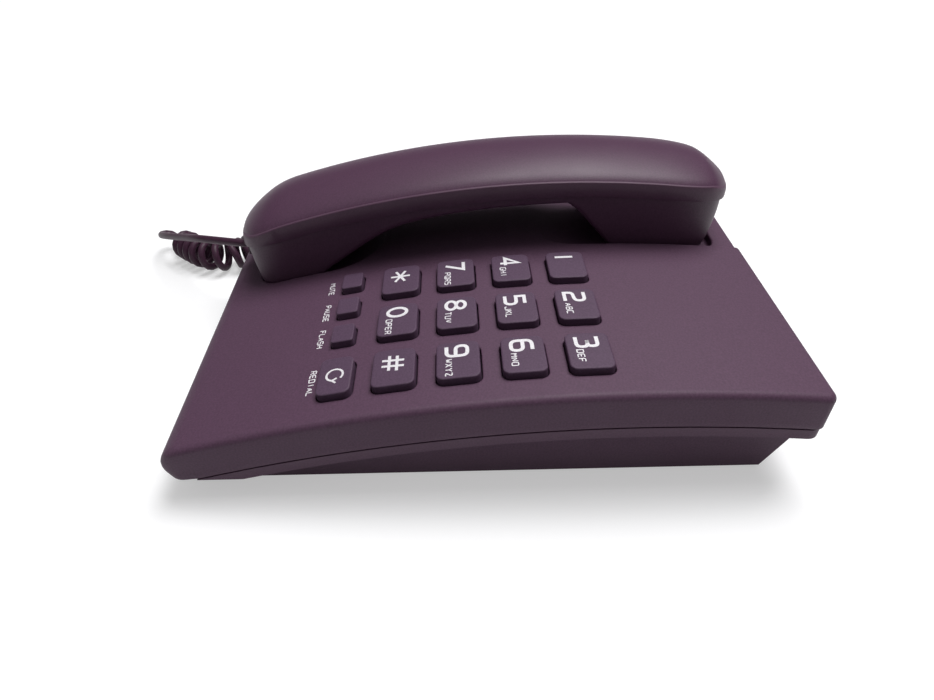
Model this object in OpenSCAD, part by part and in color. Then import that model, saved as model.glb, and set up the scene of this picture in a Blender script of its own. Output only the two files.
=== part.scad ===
// Corded push-button desk telephone with its handset in the cradle and a curly handset cord.
// Millimetres, Z up, the user sits at -Y. The origin lies under the middle of the base.

/* [Base] */
// Width of the base
base_w = 140; // [136:1:160]
// Depth of the base from the front lip to the rear edge
base_d = 200; // [198:1:216]
// Height of the highest line of the curved top
crown_z = 41.5; // [41:0.5:46]
// Distance of that line behind the middle
crown_y = 45; // [42:1:48]
// Radius of the curved top
crown_r = 520; // [500:10:560]
// Depth of the upper case at its side wall
upper_h = 13; // [12:0.5:14]
// Depth of the lower case at its rim
rim_h = 4; // [3:0.5:5]
// Groove between two shells
seam_gap = 0.3; // [0.2:0.1:0.4]
// Wall of the two base cases
wall = 2.4; // [2:0.1:2.6]
// Corner radius of the base seen from above
corner_r = 5; // [4:0.5:8]
// Rounding of the long top edges
edge_r = 2.2; // [1:0.1:2.3]
// Drop of the front lip's underside below the seam over the pedestal's front
lip_drop = 2; // [1.5:0.1:2.5]
// How far the pedestal is set in at each side
pedestal_side = 8; // [6:0.5:9]
// How far the pedestal is set in at the front
pedestal_front = 13; // [11:0.5:15]
// How far the pedestal's floor is set in at the rear
pedestal_rear = 11; // [10:0.5:13]
// Slant of the pedestal's rear face from the vertical, degrees
rear_slant = 27; // [22:1:30]

/* [Feet and fasteners] */
// Diameter of a rubber foot
foot_d = 12; // [9:0.5:13]
// Height of a foot below the floor
foot_rise = 1; // [0.8:0.1:1.5]
// Thickness of a rubber foot
foot_h = 2; // [1.9:0.1:2.2]
// Shank diameter of a case screw
screw_d = 3; // [2.5:0.1:3.5]
// Length of a case screw's shank
screw_l = 12; // [10:0.5:13]
// Clearance round a part that fits in a hole
fit_gap = 0.2; // [0.15:0.05:0.25]
// Diameter of a wall keyhole's round end
keyhole_d = 9; // [8:0.5:10]
// Width of a wall keyhole's slot
keyhole_slot = 4.5; // [4:0.1:5]
// Distance between the two wall keyholes
keyhole_pitch = 80; // [70:1:84]

/* [Keys] */
// Width of a number key
key_w = 16.9; // [15:0.1:18]
// Depth of a number key
key_d = 13; // [11:0.1:13.5]
// Distance between columns
key_pitch_x = 24.2; // [22.5:0.1:24.6]
// Distance between rows
key_pitch_y = 20; // [19:0.1:20.4]
// Middle of the keypad from the base's right side
keypad_side = 42.6; // [42.2:0.1:43]
// Place of the third number row
keypad_y = -11; // [-12:0.5:-10]
// Height of a key above the case
key_rise = 2.5; // [2:0.1:3]
// Gap round a key
key_gap = 0.4; // [0.3:0.05:0.5]
// Corner radius of a number key
key_r = 2.4; // [1:0.1:3]
// Travel of a key
key_travel = 1.5; // [1:0.1:1.8]
// Width of a small function key
small_w = 9.2; // [8:0.1:9.6]
// Depth of a small function key
small_d = 7.7; // [7:0.1:8.2]
// Distance between small function keys
small_pitch = 15.7; // [15:0.1:15.8]
// Depth of the wide function key
wide_d = 10.8; // [9:0.1:11.5]
// Distance of the function row in front of the third number row
function_row = 38.5; // [37:0.1:39]

/* [Handset] */
// Middle of the handset from the base's middle
handset_x = -36; // [-36.4:0.1:-35.6]
// Length of the handset
handset_l = 190; // [188:0.5:191]
// Width of the handset at its ridge
handset_w = 43.4; // [43:0.1:44]
// Radius of the ridge along the handset
back_r = 370; // [360:5:380]
// Place of the ridge's highest point
back_y = 33; // [31:0.5:34]
// Height of the ridge's highest point
ridge_z = 67; // [66:0.5:70]
// Rise of the domed back above the ridge
dome_rise = 6; // [5:0.5:7]
// Depth of the back shell's side band
band_h = 6; // [5.5:0.25:6.5]
// Width of the narrow ledge beside the dome
ledge = 1; // [0.6:0.1:1.4]
// Step of the front shell inside the back shell
shell_step = 1.4; // [1.2:0.1:1.8]
// Wall of the two handset shells
shell_wall = 2; // [1.8:0.1:2.2]
// Depth to which the cups sink into the cradle
cup_sink = 4.7; // [4:0.1:5]
// Clearance between the handset and the cradle
cradle_gap = 0.4; // [0.35:0.05:0.5]
// Travel of the hook plunger
hook_travel = 5; // [4:0.5:5]
// Depth of the shallow run-out behind the ear well
runout_sink = 1.4; // [1:0.1:1.6]

/* [Cord] */
// Diameter of the cord
cord_d = 3.2; // [2.8:0.1:3.2]
// Radius of the curls to the cord's middle
coil_r = 5.5; // [5:0.1:5.5]
// Advance of one curl
coil_pitch = 3.8; // [3.8:0.05:4.2]

/* [Hidden] */
$fn = 96;
fine = 720;

black_plastic = [0.16, 0.11, 0.15];
key_plastic = [0.13, 0.09, 0.12];
grey_rubber = [0.3, 0.3, 0.31];
steel = [0.7, 0.7, 0.72];
board_green = [0.15, 0.35, 0.22];
clear_plastic = [0.8, 0.8, 0.78];

far = 400;
slack = 1;
arch_z = crown_z - crown_r;
half_w = base_w / 2;
half_d = base_d / 2;
half_l = handset_l / 2;
keypad_x = half_w - keypad_side;
rings_per_curl = 8;
floor_z = foot_rise + wall;

// Height of the base's top, or of a surface parallel to it, at a place along Y
function top_z(y, drop = 0) = arch_z + sqrt(pow(crown_r - drop, 2) - pow(y - crown_y, 2));
lip_z = top_z(pedestal_front - half_d, upper_h) - lip_drop;
function arch_tilt(y) = asin((crown_y - y) / crown_r);

// Local frame on a surface parallel to the base's top, its Z square to that surface
module on_arch(y, drop = 0) {
  translate([0, crown_y, arch_z]) rotate([arch_tilt(y), 0, 0]) translate([0, 0, crown_r - drop]) children();
}

module arch_cylinder(drop) {
  translate([0, crown_y, arch_z]) rotate([0, 90, 0])
    cylinder(h = far, r = crown_r - drop, center = true, $fn = fine);
}

module rounded_rect(w, d, r) {
  square([w - 2 * r, d], center = true);
  square([w, d - 2 * r], center = true);
  for (x = [-1, 1], y = [-1, 1]) translate([x * (w / 2 - r), y * (d / 2 - r)]) circle(r);
}

module slab(w, d, r, z0, z1) {
  translate([0, 0, z0]) linear_extrude(z1 - z0) rounded_rect(w, d, r);
}

// The arched block with rounded long edges, set in by a wall
module arched_block(inset, drop_top, drop_bottom, fillet) {
  r0 = crown_r - drop_bottom;
  r1 = crown_r - drop_top;
  w = half_w - inset;
  sweep = 2 * asin(half_d * 2 / crown_r);
  intersection() {
    translate([0, crown_y, arch_z]) rotate([0, 90, 0])
      rotate_extrude(angle = sweep, start = 180 - sweep / 2, $fn = fine) {
        translate([r0, -w]) square([r1 - r0 - fillet, 2 * w]);
        translate([r0, fillet - w]) square([r1 - r0, 2 * (w - fillet)]);
        for (s = [-1, 1]) translate([r1 - fillet, s * (w - fillet)]) circle(fillet);
      }
    slab(base_w - 2 * inset + (inset > 0 ? slack : 0), base_d - 2 * inset, corner_r, lip_z - inset, far / 4);
  }
}

/* Cradle */
ear_y = half_l - 58.5;
ear_end = half_l - 4;
mouth_y = 35 - half_l;
mouth_end = 6 - half_l;
ear_ramp = half_l - 49;
mouth_ramp = 32 - half_l;
ramp_tilt = 9.5;
well_corner = 8;
well_sink = cup_sink + cradle_gap;
well_w = handset_w - 2 * shell_step + 2 * cradle_gap;

// Outline of a cradle well: a round end towards the grip and a blunt end outside
module well_outline(round_y, end_y, grow) {
  w = well_w + 2 * grow;
  side = sign(end_y - round_y);
  l = abs(end_y - round_y) + grow;
  translate([handset_x, round_y]) circle(w / 2);
  translate([handset_x, round_y + side * (l / 2 - well_corner / 2)])
    rounded_rect(w, l + well_corner, well_corner);
}

// Space above a well's floor: parallel to the top, with a ramp up towards the grip
module above_floor(ramp_y, side, sink) {
  difference() {
    on_arch(ramp_y, sink) rotate([-side * ramp_tilt, 0, 0]) translate([-far / 2, -far / 2, 0]) cube(far);
    arch_cylinder(sink);
  }
}

module well(round_y, end_y, ramp_y, grow, sink) {
  intersection() {
    linear_extrude(far / 4) well_outline(round_y, end_y, grow);
    above_floor(ramp_y, sign(end_y - round_y), sink);
  }
}

// Shallow run-out from the ear well through the base's rear edge
module runout(grow, sink) {
  difference() {
    translate([handset_x - well_w / 2 - grow, ear_end - well_corner, 0])
      cube([well_w + 2 * grow, half_d, far / 4]);
    arch_cylinder(sink);
  }
}

module wells(grow, sink) {
  well(ear_y, ear_end, ear_ramp, grow, sink);
  well(mouth_y, mouth_end, mouth_ramp, grow, sink);
}

/* Keypad, in a frame that lies flat on the top at the keypad's middle */
flange = 1;
flange_h = 1;
flange_gap = 0.4;
flange_drop = pow(2 * key_pitch_y + key_d / 2 + flange, 2) / (2 * crown_r) + wall + flange_gap;
dome_gap = 0.2;
dome_h = key_travel + 1.3;
dome_d = 5;
mat_h = 1;
board_h = 1.6;
mat_w = 2 * key_pitch_x + key_w + 2 * flange;
mat_drop = flange_drop + flange_h + dome_gap + dome_h;
board_drop = mat_drop + mat_h;
board_w = 78.6;
board_margin = [8, 11];
board_front = function_row + board_margin[0];
board_back = 2 * key_pitch_y + board_margin[1];
board_post_x = 36.7;
board_post_y = [-38, 46];
board_post_d = 4.6;
board_screw_d = 2;
board_screw_l = 5;
small_x = [-28.5, -28.5 + small_pitch, -28.5 + 2 * small_pitch];

module on_keypad() {
  on_arch(keypad_y) translate([keypad_x, 0, 0]) children();
}

function number_place(i) = [(i % 3 - 1) * key_pitch_x, (2 - floor(i / 3)) * key_pitch_y, 0];
function small_place(i) = [small_x[i], -function_row, 0];
wide_place = [key_pitch_x, -function_row, 0];

module key(place, w, d, r) {
  on_keypad() {
    intersection() {
      translate(place) translate([0, 0, -flange_drop - flange_h])
        linear_extrude(flange_drop + flange_h + key_rise + slack) rounded_rect(w, d, r);
      translate([0, 0, -crown_r]) rotate([0, 90, 0])
        cylinder(h = far, r = crown_r + key_rise, center = true, $fn = fine);
    }
    translate(place) translate([0, 0, -flange_drop - flange_h])
      linear_extrude(flange_h) rounded_rect(w + 2 * flange, d + 2 * flange, r);
  }
}

module number_key(i) {
  color(key_plastic) key(number_place(i), key_w, key_d, key_r);
}

module small_key(i) {
  color(key_plastic) key(small_place(i), small_w, small_d, key_r / 2);
}

module wide_key() {
  color(key_plastic) key(wide_place, key_w, wide_d, key_r);
}

module key_opening(place, w, d, r) {
  translate(place) translate([0, 0, -2 * wall - slack])
    linear_extrude(4 * wall) rounded_rect(w + 2 * key_gap, d + 2 * key_gap, r + key_gap);
}

module key_openings() {
  on_keypad() {
    for (i = [0 : 11]) key_opening(number_place(i), key_w, key_d, key_r);
    for (i = [0 : 2]) key_opening(small_place(i), small_w, small_d, key_r / 2);
    key_opening(wide_place, key_w, wide_d, key_r);
  }
}

module board_posts(d, top, bottom) {
  on_keypad() for (x = [-1, 1], y = board_post_y)
    translate([x * board_post_x, y, bottom]) cylinder(h = top - bottom, d = d);
}

/* Case screws, feet and posts */
post_x = half_w - 18;
post_y = [-63, 50];
post_d = 8;
head_d = 6;
head_h = 2.4;
head_sink = 1;
post_split = floor_z + 6;
foot_x = half_w - 20;
foot_y = [24 - half_d, half_d - 22];

module at_posts() {
  for (x = [-1, 1], y = post_y) translate([x * post_x, y, 0]) children();
}

module at_feet() {
  for (x = [-1, 1], y = foot_y) translate([x * foot_x, y, 0]) children();
}

/* Hook switch under the ear well */
hook_y = half_l - 38;
hook_w = 8;
hook_d = 5;
hook_flange = 1.5;
hook_flange_h = 1.2;
hook_top = top_z(hook_y, well_sink) - 0.1;
hook_flange_z = top_z(hook_y, well_sink + wall) - hook_travel - 0.8;
stem_d = 4;
switch_w = 14;
switch_d = 10;
switch_h = 8;
spring_d = 7;
spring_wire = 0.8;
spring_turns = 4;
spring_l = 7;
switch_top = hook_flange_z - hook_flange_h - spring_l;
stem_reach = hook_travel + 1;

module at_hook(z) {
  translate([handset_x, hook_y, z]) children();
}

/* Jacks and switches of the base */
jack_w = 11;
jack_h = 10;
jack_l = 13;
plug_w = 7.6;
plug_h = 6.4;
plug_in = 10;
plug_out = 3;
base_jack_y = 70;
base_jack_z = 9.5;
line_jack_x = 18;
line_jack_y = half_d - pedestal_rear + 3;
line_jack_z = 9;
line_plug_w = 9.8;
rear_slot_h = 9;
slider_w = 4;
slider_d = 3;
slider_travel = 2.5;
ringer_slider_x = -12;
dial_mode_slider_x = half_w - 24;
slide_body = [14, 6.5, 5];

// Local frame on the pedestal's slanted rear face, its Z pointing out of the face
module on_rear(x) {
  translate([x, half_d - pedestal_rear + (rear_slot_h - foot_rise) * tan(rear_slant), rear_slot_h])
    rotate([-90 - rear_slant, 0, 0]) children();
}

/* Other inner parts of the base */
ringer_x = half_w - 44;
ringer_y = half_d - 42;
ringer_d = 32;
ringer_h = 7;
ringer_rib = 1.6;
weight_x = half_w - 37;
weight_y = -22;
weight_size = [46, 56, 4];
peg_d = 4;
peg_y = 20;

module top_case() {
  color(black_plastic) difference() {
    union() {
      difference() {
        arched_block(0, 0, upper_h, edge_r);
        arched_block(wall, wall, upper_h + 2 * wall, 0);
      }
      intersection() {
        union() {
          wells(wall, well_sink + wall);
          runout(wall, runout_sink + wall);
        }
        arched_block(wall / 2, wall / 2, upper_h + wall, 0);
      }
      intersection() {
        board_posts(board_post_d, slack, -board_drop);
        arch_cylinder(wall / 2);
      }
      intersection() {
        at_posts() translate([0, 0, post_split]) cylinder(h = far / 4, d = post_d);
        arch_cylinder(wall / 2);
        arched_block(wall / 2, wall / 2, far / 8, 0);
      }
    }
    wells(0, well_sink);
    runout(0, runout_sink);
    key_openings();
    board_posts(board_screw_d + fit_gap, -board_drop + board_screw_l, -board_drop - slack);
    at_posts() cylinder(h = foot_rise + head_sink + head_h + screw_l + slack, d = screw_d + fit_gap);
    at_hook(hook_flange_z) translate([0, 0, far / 8])
      cube([hook_w + 2 * key_gap, hook_d + 2 * key_gap, far / 4], center = true);
  }
}

module pedestal(inset, z0) {
  rise = far / 8;
  run = rise * tan(rear_slant);
  back = half_d - pedestal_rear - inset / cos(rear_slant) - foot_rise * tan(rear_slant);
  front = pedestal_front - half_d + inset;
  intersection() {
    translate([-half_w + pedestal_side + inset, 0, 0]) rotate([90, 0, 90])
      linear_extrude(base_w - 2 * pedestal_side - 2 * inset)
        polygon([[front, z0], [back + z0 * tan(rear_slant), z0], [back + run, rise], [front, rise]]);
    translate([0, 0, -slack]) slab(base_w, base_d - 2 * inset, corner_r, 0, far / 4);
  }
}

// Plate that closes the lower case behind the front lip
module lip_floor() {
  intersection() {
    slab(base_w - 2 * wall - 2 * fit_gap, base_d - 2 * wall - 2 * fit_gap, corner_r, lip_z, lip_z + wall);
    translate([-half_w, -half_d, 0]) cube([base_w, pedestal_front + wall / 2, far / 4]);
    arched_block(wall / 2, wall + upper_h / 2, far / 8, 0);
  }
}

module bottom_case() {
  color(black_plastic) difference() {
    union() {
      difference() {
        arched_block(0, upper_h + seam_gap, upper_h + rim_h, 0);
        pedestal(wall / 2, 0);
      }
      difference() {
        intersection() {
          pedestal(0, foot_rise);
          arch_cylinder(upper_h + seam_gap);
        }
        pedestal(wall, floor_z);
      }
      lip_floor();
      at_posts() translate([0, 0, floor_z - slack])
        cylinder(h = post_split - seam_gap - floor_z + slack, d = post_d);
      at_hook(floor_z - slack) translate([-switch_w / 2, -switch_d / 2, 0])
        cube([switch_w, switch_d, switch_top - switch_h - floor_z + slack]);
      translate([ringer_x, ringer_y, floor_z - slack]) difference() {
        cylinder(h = ringer_h / 2 + slack, d = ringer_d + 2 * fit_gap + 2 * ringer_rib);
        translate([0, 0, -slack]) cylinder(h = ringer_h + 2 * slack, d = ringer_d + 2 * fit_gap);
      }
      for (s = [-1, 1]) translate([weight_x, weight_y + s * peg_y, floor_z - slack])
        cylinder(h = weight_size.z + 2 * slack, d = peg_d);
      translate([-half_w + pedestal_side + wall / 2, base_jack_y - jack_w / 2, foot_rise + slack])
        cube([jack_l - wall, jack_w, base_jack_z - jack_h / 2 - foot_rise - slack]);
      translate([line_jack_x - jack_w / 2, line_jack_y - jack_l, foot_rise + slack])
        cube([jack_w, jack_l - pedestal_rear / 2, line_jack_z - jack_h / 2 - foot_rise - slack]);
    }
    at_feet() translate([0, 0, -slack]) cylinder(h = foot_h + fit_gap + slack, d = foot_d + 2 * fit_gap);
    at_posts() {
      translate([0, 0, -slack]) cylinder(h = foot_rise + head_sink + head_h + slack, d = head_d + 2 * fit_gap);
      cylinder(h = far / 8, d = screw_d + 2 * fit_gap);
    }
    for (s = [-1, 1]) translate([0, s * keyhole_pitch / 2, -slack]) {
      cylinder(h = floor_z + 2 * slack, d = keyhole_d);
      translate([-keyhole_slot / 2, 0, 0]) cube([keyhole_slot, keyhole_d * 1.1, floor_z + 2 * slack]);
    }
    for (i = [-1 : 1]) translate([ringer_x - ringer_d / 4, ringer_y + 6 * i - 1, 0])
      cube([ringer_d / 2, 2, floor_z + slack]);
    translate([-half_w, base_jack_y - jack_w / 2 - fit_gap, base_jack_z - jack_h / 2])
      cube([jack_l, jack_w + 2 * fit_gap, jack_h + fit_gap]);
    translate([line_jack_x - jack_w / 2 - fit_gap, line_jack_y - jack_l, line_jack_z - jack_h / 2])
      cube([jack_w + 2 * fit_gap, far / 8, jack_h + fit_gap]);
    for (x = [ringer_slider_x, dial_mode_slider_x]) on_rear(x)
      cube([slider_w + 2 * slider_travel + 4 * fit_gap, slider_d + 4 * fit_gap, 4 * wall], center = true);
  }
}

module rubber_feet() {
  color(grey_rubber) at_feet() cylinder(h = foot_h, d = foot_d);
}

module screw(head, head_h, shank, length) {
  cylinder(h = head_h, d = head);
  cylinder(h = head_h + length, d = shank);
}

module case_screws() {
  color(steel) at_posts() translate([0, 0, foot_rise + head_sink])
    screw(head_d, head_h - fit_gap, screw_d, screw_l);
}

module base_weight() {
  color(steel) translate([weight_x, weight_y, floor_z]) difference() {
    translate([-weight_size.x / 2, -weight_size.y / 2, 0]) cube(weight_size);
    for (s = [-1, 1]) translate([0, s * peg_y, -slack])
      cylinder(h = weight_size.z + 2 * slack, d = peg_d + 2 * fit_gap);
  }
}

module main_board() {
  color(board_green) difference() {
    on_keypad() translate([-board_w / 2, -board_front, -board_drop - board_h])
      cube([board_w, board_front + board_back, board_h]);
    board_posts(board_screw_d + 2 * fit_gap, 0, -board_drop - board_h - slack);
  }
}

module board_screws() {
  color(steel) on_keypad() for (x = [-1, 1], y = board_post_y)
    translate([x * board_post_x, y, -board_drop - board_h - 1.4]) screw(4, 1.4, board_screw_d, board_screw_l);
}

module dome() {
  translate([0, 0, -mat_drop - mat_h / 2]) cylinder(h = dome_h + mat_h / 2, d = dome_d);
}

module keypad_mat() {
  color(grey_rubber) on_keypad() {
    translate([-mat_w / 2, -board_front + slack, -board_drop])
      cube([mat_w, board_front + 2 * key_pitch_y + key_d / 2 + flange, mat_h]);
    for (i = [0 : 11]) translate(number_place(i)) dome();
    for (i = [0 : 2]) translate(small_place(i)) dome();
    translate(wide_place) dome();
  }
}

module hook_plunger() {
  color(black_plastic) {
    at_hook(hook_flange_z - hook_flange_h) {
      translate([-hook_w / 2, -hook_d / 2, 0]) cube([hook_w, hook_d, hook_top - hook_flange_z + hook_flange_h]);
      translate([-hook_w / 2 - hook_flange, -hook_d / 2 - hook_flange, 0])
        cube([hook_w + 2 * hook_flange, hook_d + 2 * hook_flange, hook_flange_h]);
    }
    at_hook(switch_top - stem_reach) cylinder(h = spring_l + stem_reach + hook_flange_h, d = stem_d);
  }
}

module hook_spring() {
  lift = spring_l - spring_wire - 2 * fit_gap;
  steps = rings_per_curl * spring_turns;
  line = [for (i = [0 : steps]) [
    (spring_d - spring_wire) / 2 * cos(360 / rings_per_curl * i),
    (spring_d - spring_wire) / 2 * sin(360 / rings_per_curl * i),
    spring_wire / 2 + fit_gap + lift * i / steps]];
  color(steel) at_hook(switch_top) tube(line, spring_wire);
}

module hook_switch() {
  color(black_plastic) at_hook(switch_top - switch_h) difference() {
    translate([-switch_w / 2, -switch_d / 2, 0]) cube([switch_w, switch_d, switch_h]);
    translate([0, 0, switch_h - stem_reach - fit_gap]) cylinder(h = switch_h, d = stem_d + 2 * fit_gap);
  }
}

module ringer() {
  color(steel) translate([ringer_x, ringer_y, floor_z]) {
    difference() {
      cylinder(h = ringer_h, d = ringer_d);
      translate([0, 0, -slack]) cylinder(h = ringer_h - 1, d = ringer_d - 4);
    }
  }
}

// A modular socket: its mouth opens towards -X at X = 0
module socket(w, h, l, mouth_w, mouth_h, depth) {
  difference() {
    translate([0, -w / 2, -h / 2]) cube([l, w, h]);
    translate([-slack, -mouth_w / 2 - fit_gap, -mouth_h / 2 - fit_gap])
      cube([depth + slack + fit_gap, mouth_w + 2 * fit_gap, mouth_h + 2 * fit_gap]);
  }
}

// A modular plug with its latch: its cord end points to -X
module modular_plug() {
  translate([-plug_out, -plug_w / 2, -plug_h / 2]) cube([plug_out + plug_in, plug_w, plug_h]);
  translate([-plug_out, -1.5, plug_h / 2]) cube([plug_out - fit_gap, 3, 1]);
}

module base_jack() {
  color(clear_plastic) translate([-half_w + pedestal_side, base_jack_y, base_jack_z])
    socket(jack_w, jack_h, jack_l, plug_w, plug_h, plug_in);
}

module base_plug() {
  color(clear_plastic) translate([-half_w + pedestal_side, base_jack_y, base_jack_z]) modular_plug();
}

module line_jack() {
  color(clear_plastic) translate([line_jack_x, line_jack_y, line_jack_z]) rotate([0, 0, -90])
    socket(jack_w, jack_h, jack_l, line_plug_w, plug_h, plug_in);
}

module slide_switch(x) {
  color(black_plastic) on_rear(x) translate([0, 0, -wall - fit_gap - slide_body.z]) difference() {
    translate([-slide_body.x / 2, -slide_body.y / 2, 0]) cube(slide_body);
    translate([0, 0, slide_body.z])
      cube([slider_w + 2 * slider_travel + 4 * fit_gap, slider_d + 4 * fit_gap, 3], center = true);
  }
}

module slider(x) {
  color(grey_rubber) on_rear(x) translate([-slider_w / 2, -slider_d / 2, -wall - 1])
    cube([slider_w, slider_d, wall + 2.2]);
}

module ringer_switch() {
  slide_switch(ringer_slider_x);
}

module ringer_slider() {
  slider(ringer_slider_x);
}

module dial_mode_switch() {
  slide_switch(dial_mode_slider_x);
}

module dial_mode_slider() {
  slider(dial_mode_slider_x);
}

/* Handset */
back_z = ridge_z - back_r;
dome_half = handset_w / 2 - ledge;
dome_r = (pow(dome_half, 2) + pow(dome_rise, 2)) / (2 * dome_rise);
end_r = 24;
end_corner = 14;
front_corner = 13;
rear_end_z = ridge_z - 19.6;
front_end_z = ridge_z - 33.5;
front_w = handset_w - 2 * shell_step;
front_toe = [15 - half_l, 2.5 - half_l];
rear_toe = [half_l - 7, half_l - 3];
toe_z = [18, 42, 52];
sound_hole = 2;
hole_pitch = 4.5;

// Local frame on the handset's ridge line
module on_back(y) {
  translate([handset_x, back_y, back_z]) rotate([asin((back_y - y) / back_r), 0, 0])
    translate([0, 0, back_r]) children();
}

// Ring about the handset's arch with the domed cross section
module domed_ring(inset) {
  sweep = 60;
  translate([handset_x, back_y, back_z]) rotate([0, 90, 0])
    rotate_extrude(angle = sweep, start = 180 - sweep / 2, $fn = fine) {
      translate([back_r - band_h - (inset > 0 ? slack : 0), inset - handset_w / 2])
        square([band_h - inset + (inset > 0 ? slack : 0), handset_w - 2 * inset]);
      intersection() {
        translate([back_r + dome_rise - dome_r, 0]) circle(dome_r - inset);
        translate([back_r - inset - slack, -handset_w]) square([far, 2 * handset_w]);
      }
    }
}

// Side outline of the back shell with its rounded ends
module back_ends(inset) {
  r = end_r - inset;
  rear = half_l - end_r;
  translate([-far / 2, 0, 0]) rotate([90, 0, 90]) linear_extrude(far) {
    translate([-rear, 0]) square([2 * rear, far / 2]);
    translate([rear - slack, 0]) square([r + slack, rear_end_z]);
    translate([rear, rear_end_z]) circle(r);
    translate([-rear - r, 0]) square([r + slack, front_end_z]);
    translate([-rear, front_end_z]) circle(r);
  }
}

module handset_plan(w, l, r) {
  translate([handset_x, 0, 0]) slab(w, l, r, 0, far / 2);
}

handset_post_d = 6;
handset_screw_d = 2.6;
handset_screw_y = [37 - half_l, half_l - 65];
handset_screw_l = 8;
handset_head_d = 5;
handset_head_h = 1.4;

module back_posts() {
  intersection() {
    for (y = handset_screw_y) on_back(y) translate([0, 0, -band_h]) difference() {
      cylinder(h = far / 8, d = handset_post_d);
      translate([0, 0, -slack]) cylinder(h = handset_screw_l + slack, d = handset_screw_d + fit_gap);
    }
    domed_ring(shell_wall / 2);
  }
}

module handset_back() {
  color(black_plastic) {
    difference() {
      intersection() {
        domed_ring(0);
        back_ends(0);
        handset_plan(handset_w, handset_l, end_corner);
      }
      intersection() {
        domed_ring(shell_wall);
        back_ends(shell_wall);
        handset_plan(handset_w - 2 * shell_wall, handset_l - 2 * shell_wall, end_corner - shell_wall);
      }
    }
    back_posts();
  }
}

function curve(a, b, c, d, t) = 0.5 * (2 * b + (c - a) * t + (2 * a - 5 * b + 4 * c - d) * t * t
  + (3 * b - a - 3 * c + d) * t * t * t);
function smooth(p, n) = let (q = concat([2 * p[0] - p[1]], p, [2 * p[len(p) - 1] - p[len(p) - 2]]))
  concat([for (i = [1 : len(p) - 1], k = [0 : n - 1]) curve(q[i - 1], q[i], q[i + 1], q[i + 2], k / n)],
    [p[len(p) - 1]]);

// Underside of the grip from the mouth cup to the ear cup, measured from the ridge's highest point
grip_line = [[35 - half_l, -36.5], [55 - half_l, -22.5], [71 - half_l, -16], [0, -11.5],
  [half_l - 68, -9.4], [half_l - 62, -11], [half_l - 48.5, -25.5]];
gap_foot = 60;
gap_front = 31 - half_l;
gap_back = half_l - 45;

module finger_gap() {
  low = ridge_z - gap_foot;
  polygon(concat([[gap_front, low], [gap_front, ridge_z + grip_line[0].y - 5]],
    smooth([for (p = grip_line) p + [0, ridge_z]], 6),
    [[gap_back, ridge_z + grip_line[6].y - 5], [gap_back, low]]));
}

// Side outline of the front shell: two cups and the arched grip
module front_side(inset) {
  difference() {
    intersection() {
      translate([back_y, back_z]) circle(back_r - band_h - seam_gap + 4 * inset, $fn = fine);
      polygon([[front_toe[0] + inset, toe_z[0]], [front_toe[1] + inset, toe_z[1]], [front_toe[1] + inset, far],
        [rear_toe[1] - inset, far], [rear_toe[1] - inset, toe_z[2]], [rear_toe[0] - inset, toe_z[0]]]);
    }
    translate([crown_y, arch_z]) circle(crown_r - cup_sink + inset, $fn = fine);
    if (inset > 0) offset(inset) finger_gap();
    else finger_gap();
  }
}

module front_block(inset) {
  intersection() {
    translate([handset_x - front_w / 2 + inset, 0, 0]) rotate([90, 0, 90])
      linear_extrude(front_w - 2 * inset) front_side(inset);
    handset_plan(front_w - 2 * inset + slack, rear_toe[1] - front_toe[1] - 2 * inset, front_corner - inset);
  }
}

receiver_y = half_l - 26.5;
receiver_d = 30;
receiver_h = 9;
ring_h = 1.2;
microphone_y = 22.5 - half_l;
microphone_d = 7.6;
microphone_h = 4.5;
boot_d = 11;
boot_h = 5;
handset_jack_drop = 35.3;
handset_jack_z = ridge_z - handset_jack_drop;
handset_jack_h = 8.6;

module on_cup(y, lift = 0) {
  on_arch(y, cup_sink - lift) translate([handset_x, 0, 0]) children();
}

module sound_holes(y, rings) {
  on_cup(y, -slack) for (k = [0 : rings], i = [0 : max(0, 6 * k - 1)])
    rotate([0, 0, k == 0 ? 0 : 60 * i / k]) translate([hole_pitch * k, 0, 0])
      cylinder(h = shell_wall + 2 * slack, d = sound_hole);
}

module handset_front() {
  color(black_plastic) difference() {
    union() {
      difference() {
        front_block(0);
        front_block(shell_wall);
      }
      intersection() {
        front_block(shell_wall / 2);
        for (y = handset_screw_y) on_back(y) translate([0, 0, -far / 8 - band_h - seam_gap])
          cylinder(h = far / 8, d = handset_post_d);
      }
    }
    sound_holes(receiver_y, 2);
    sound_holes(microphone_y, 1);
    for (y = handset_screw_y) on_back(y) {
      translate([0, 0, -far / 8]) cylinder(h = far / 4, d = handset_screw_d + 2 * fit_gap);
      translate([0, 0, -far / 8 - band_h - seam_gap - 2])
        cylinder(h = far / 8, d = handset_head_d + 2 * fit_gap);
    }
    translate([handset_x - jack_w / 2 - fit_gap, -half_l, handset_jack_z - handset_jack_h / 2 - fit_gap])
      cube([jack_w + 2 * fit_gap, jack_l, handset_jack_h + 2 * fit_gap]);
  }
}

module handset_screws() {
  color(steel) for (y = handset_screw_y) on_back(y)
    translate([0, 0, -band_h - seam_gap - 2 - handset_head_h])
      screw(handset_head_d, handset_head_h, handset_screw_d, handset_screw_l);
}

module receiver_ring() {
  color(grey_rubber) on_cup(receiver_y, shell_wall + fit_gap) difference() {
    cylinder(h = ring_h, d = receiver_d);
    translate([0, 0, -slack]) cylinder(h = ring_h + 2 * slack, d = receiver_d - 6);
  }
}

module receiver_capsule() {
  color(steel) on_cup(receiver_y, shell_wall + fit_gap + ring_h) {
    cylinder(h = receiver_h - 4, d = receiver_d);
    cylinder(h = receiver_h, d = receiver_d / 2);
  }
}

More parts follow.
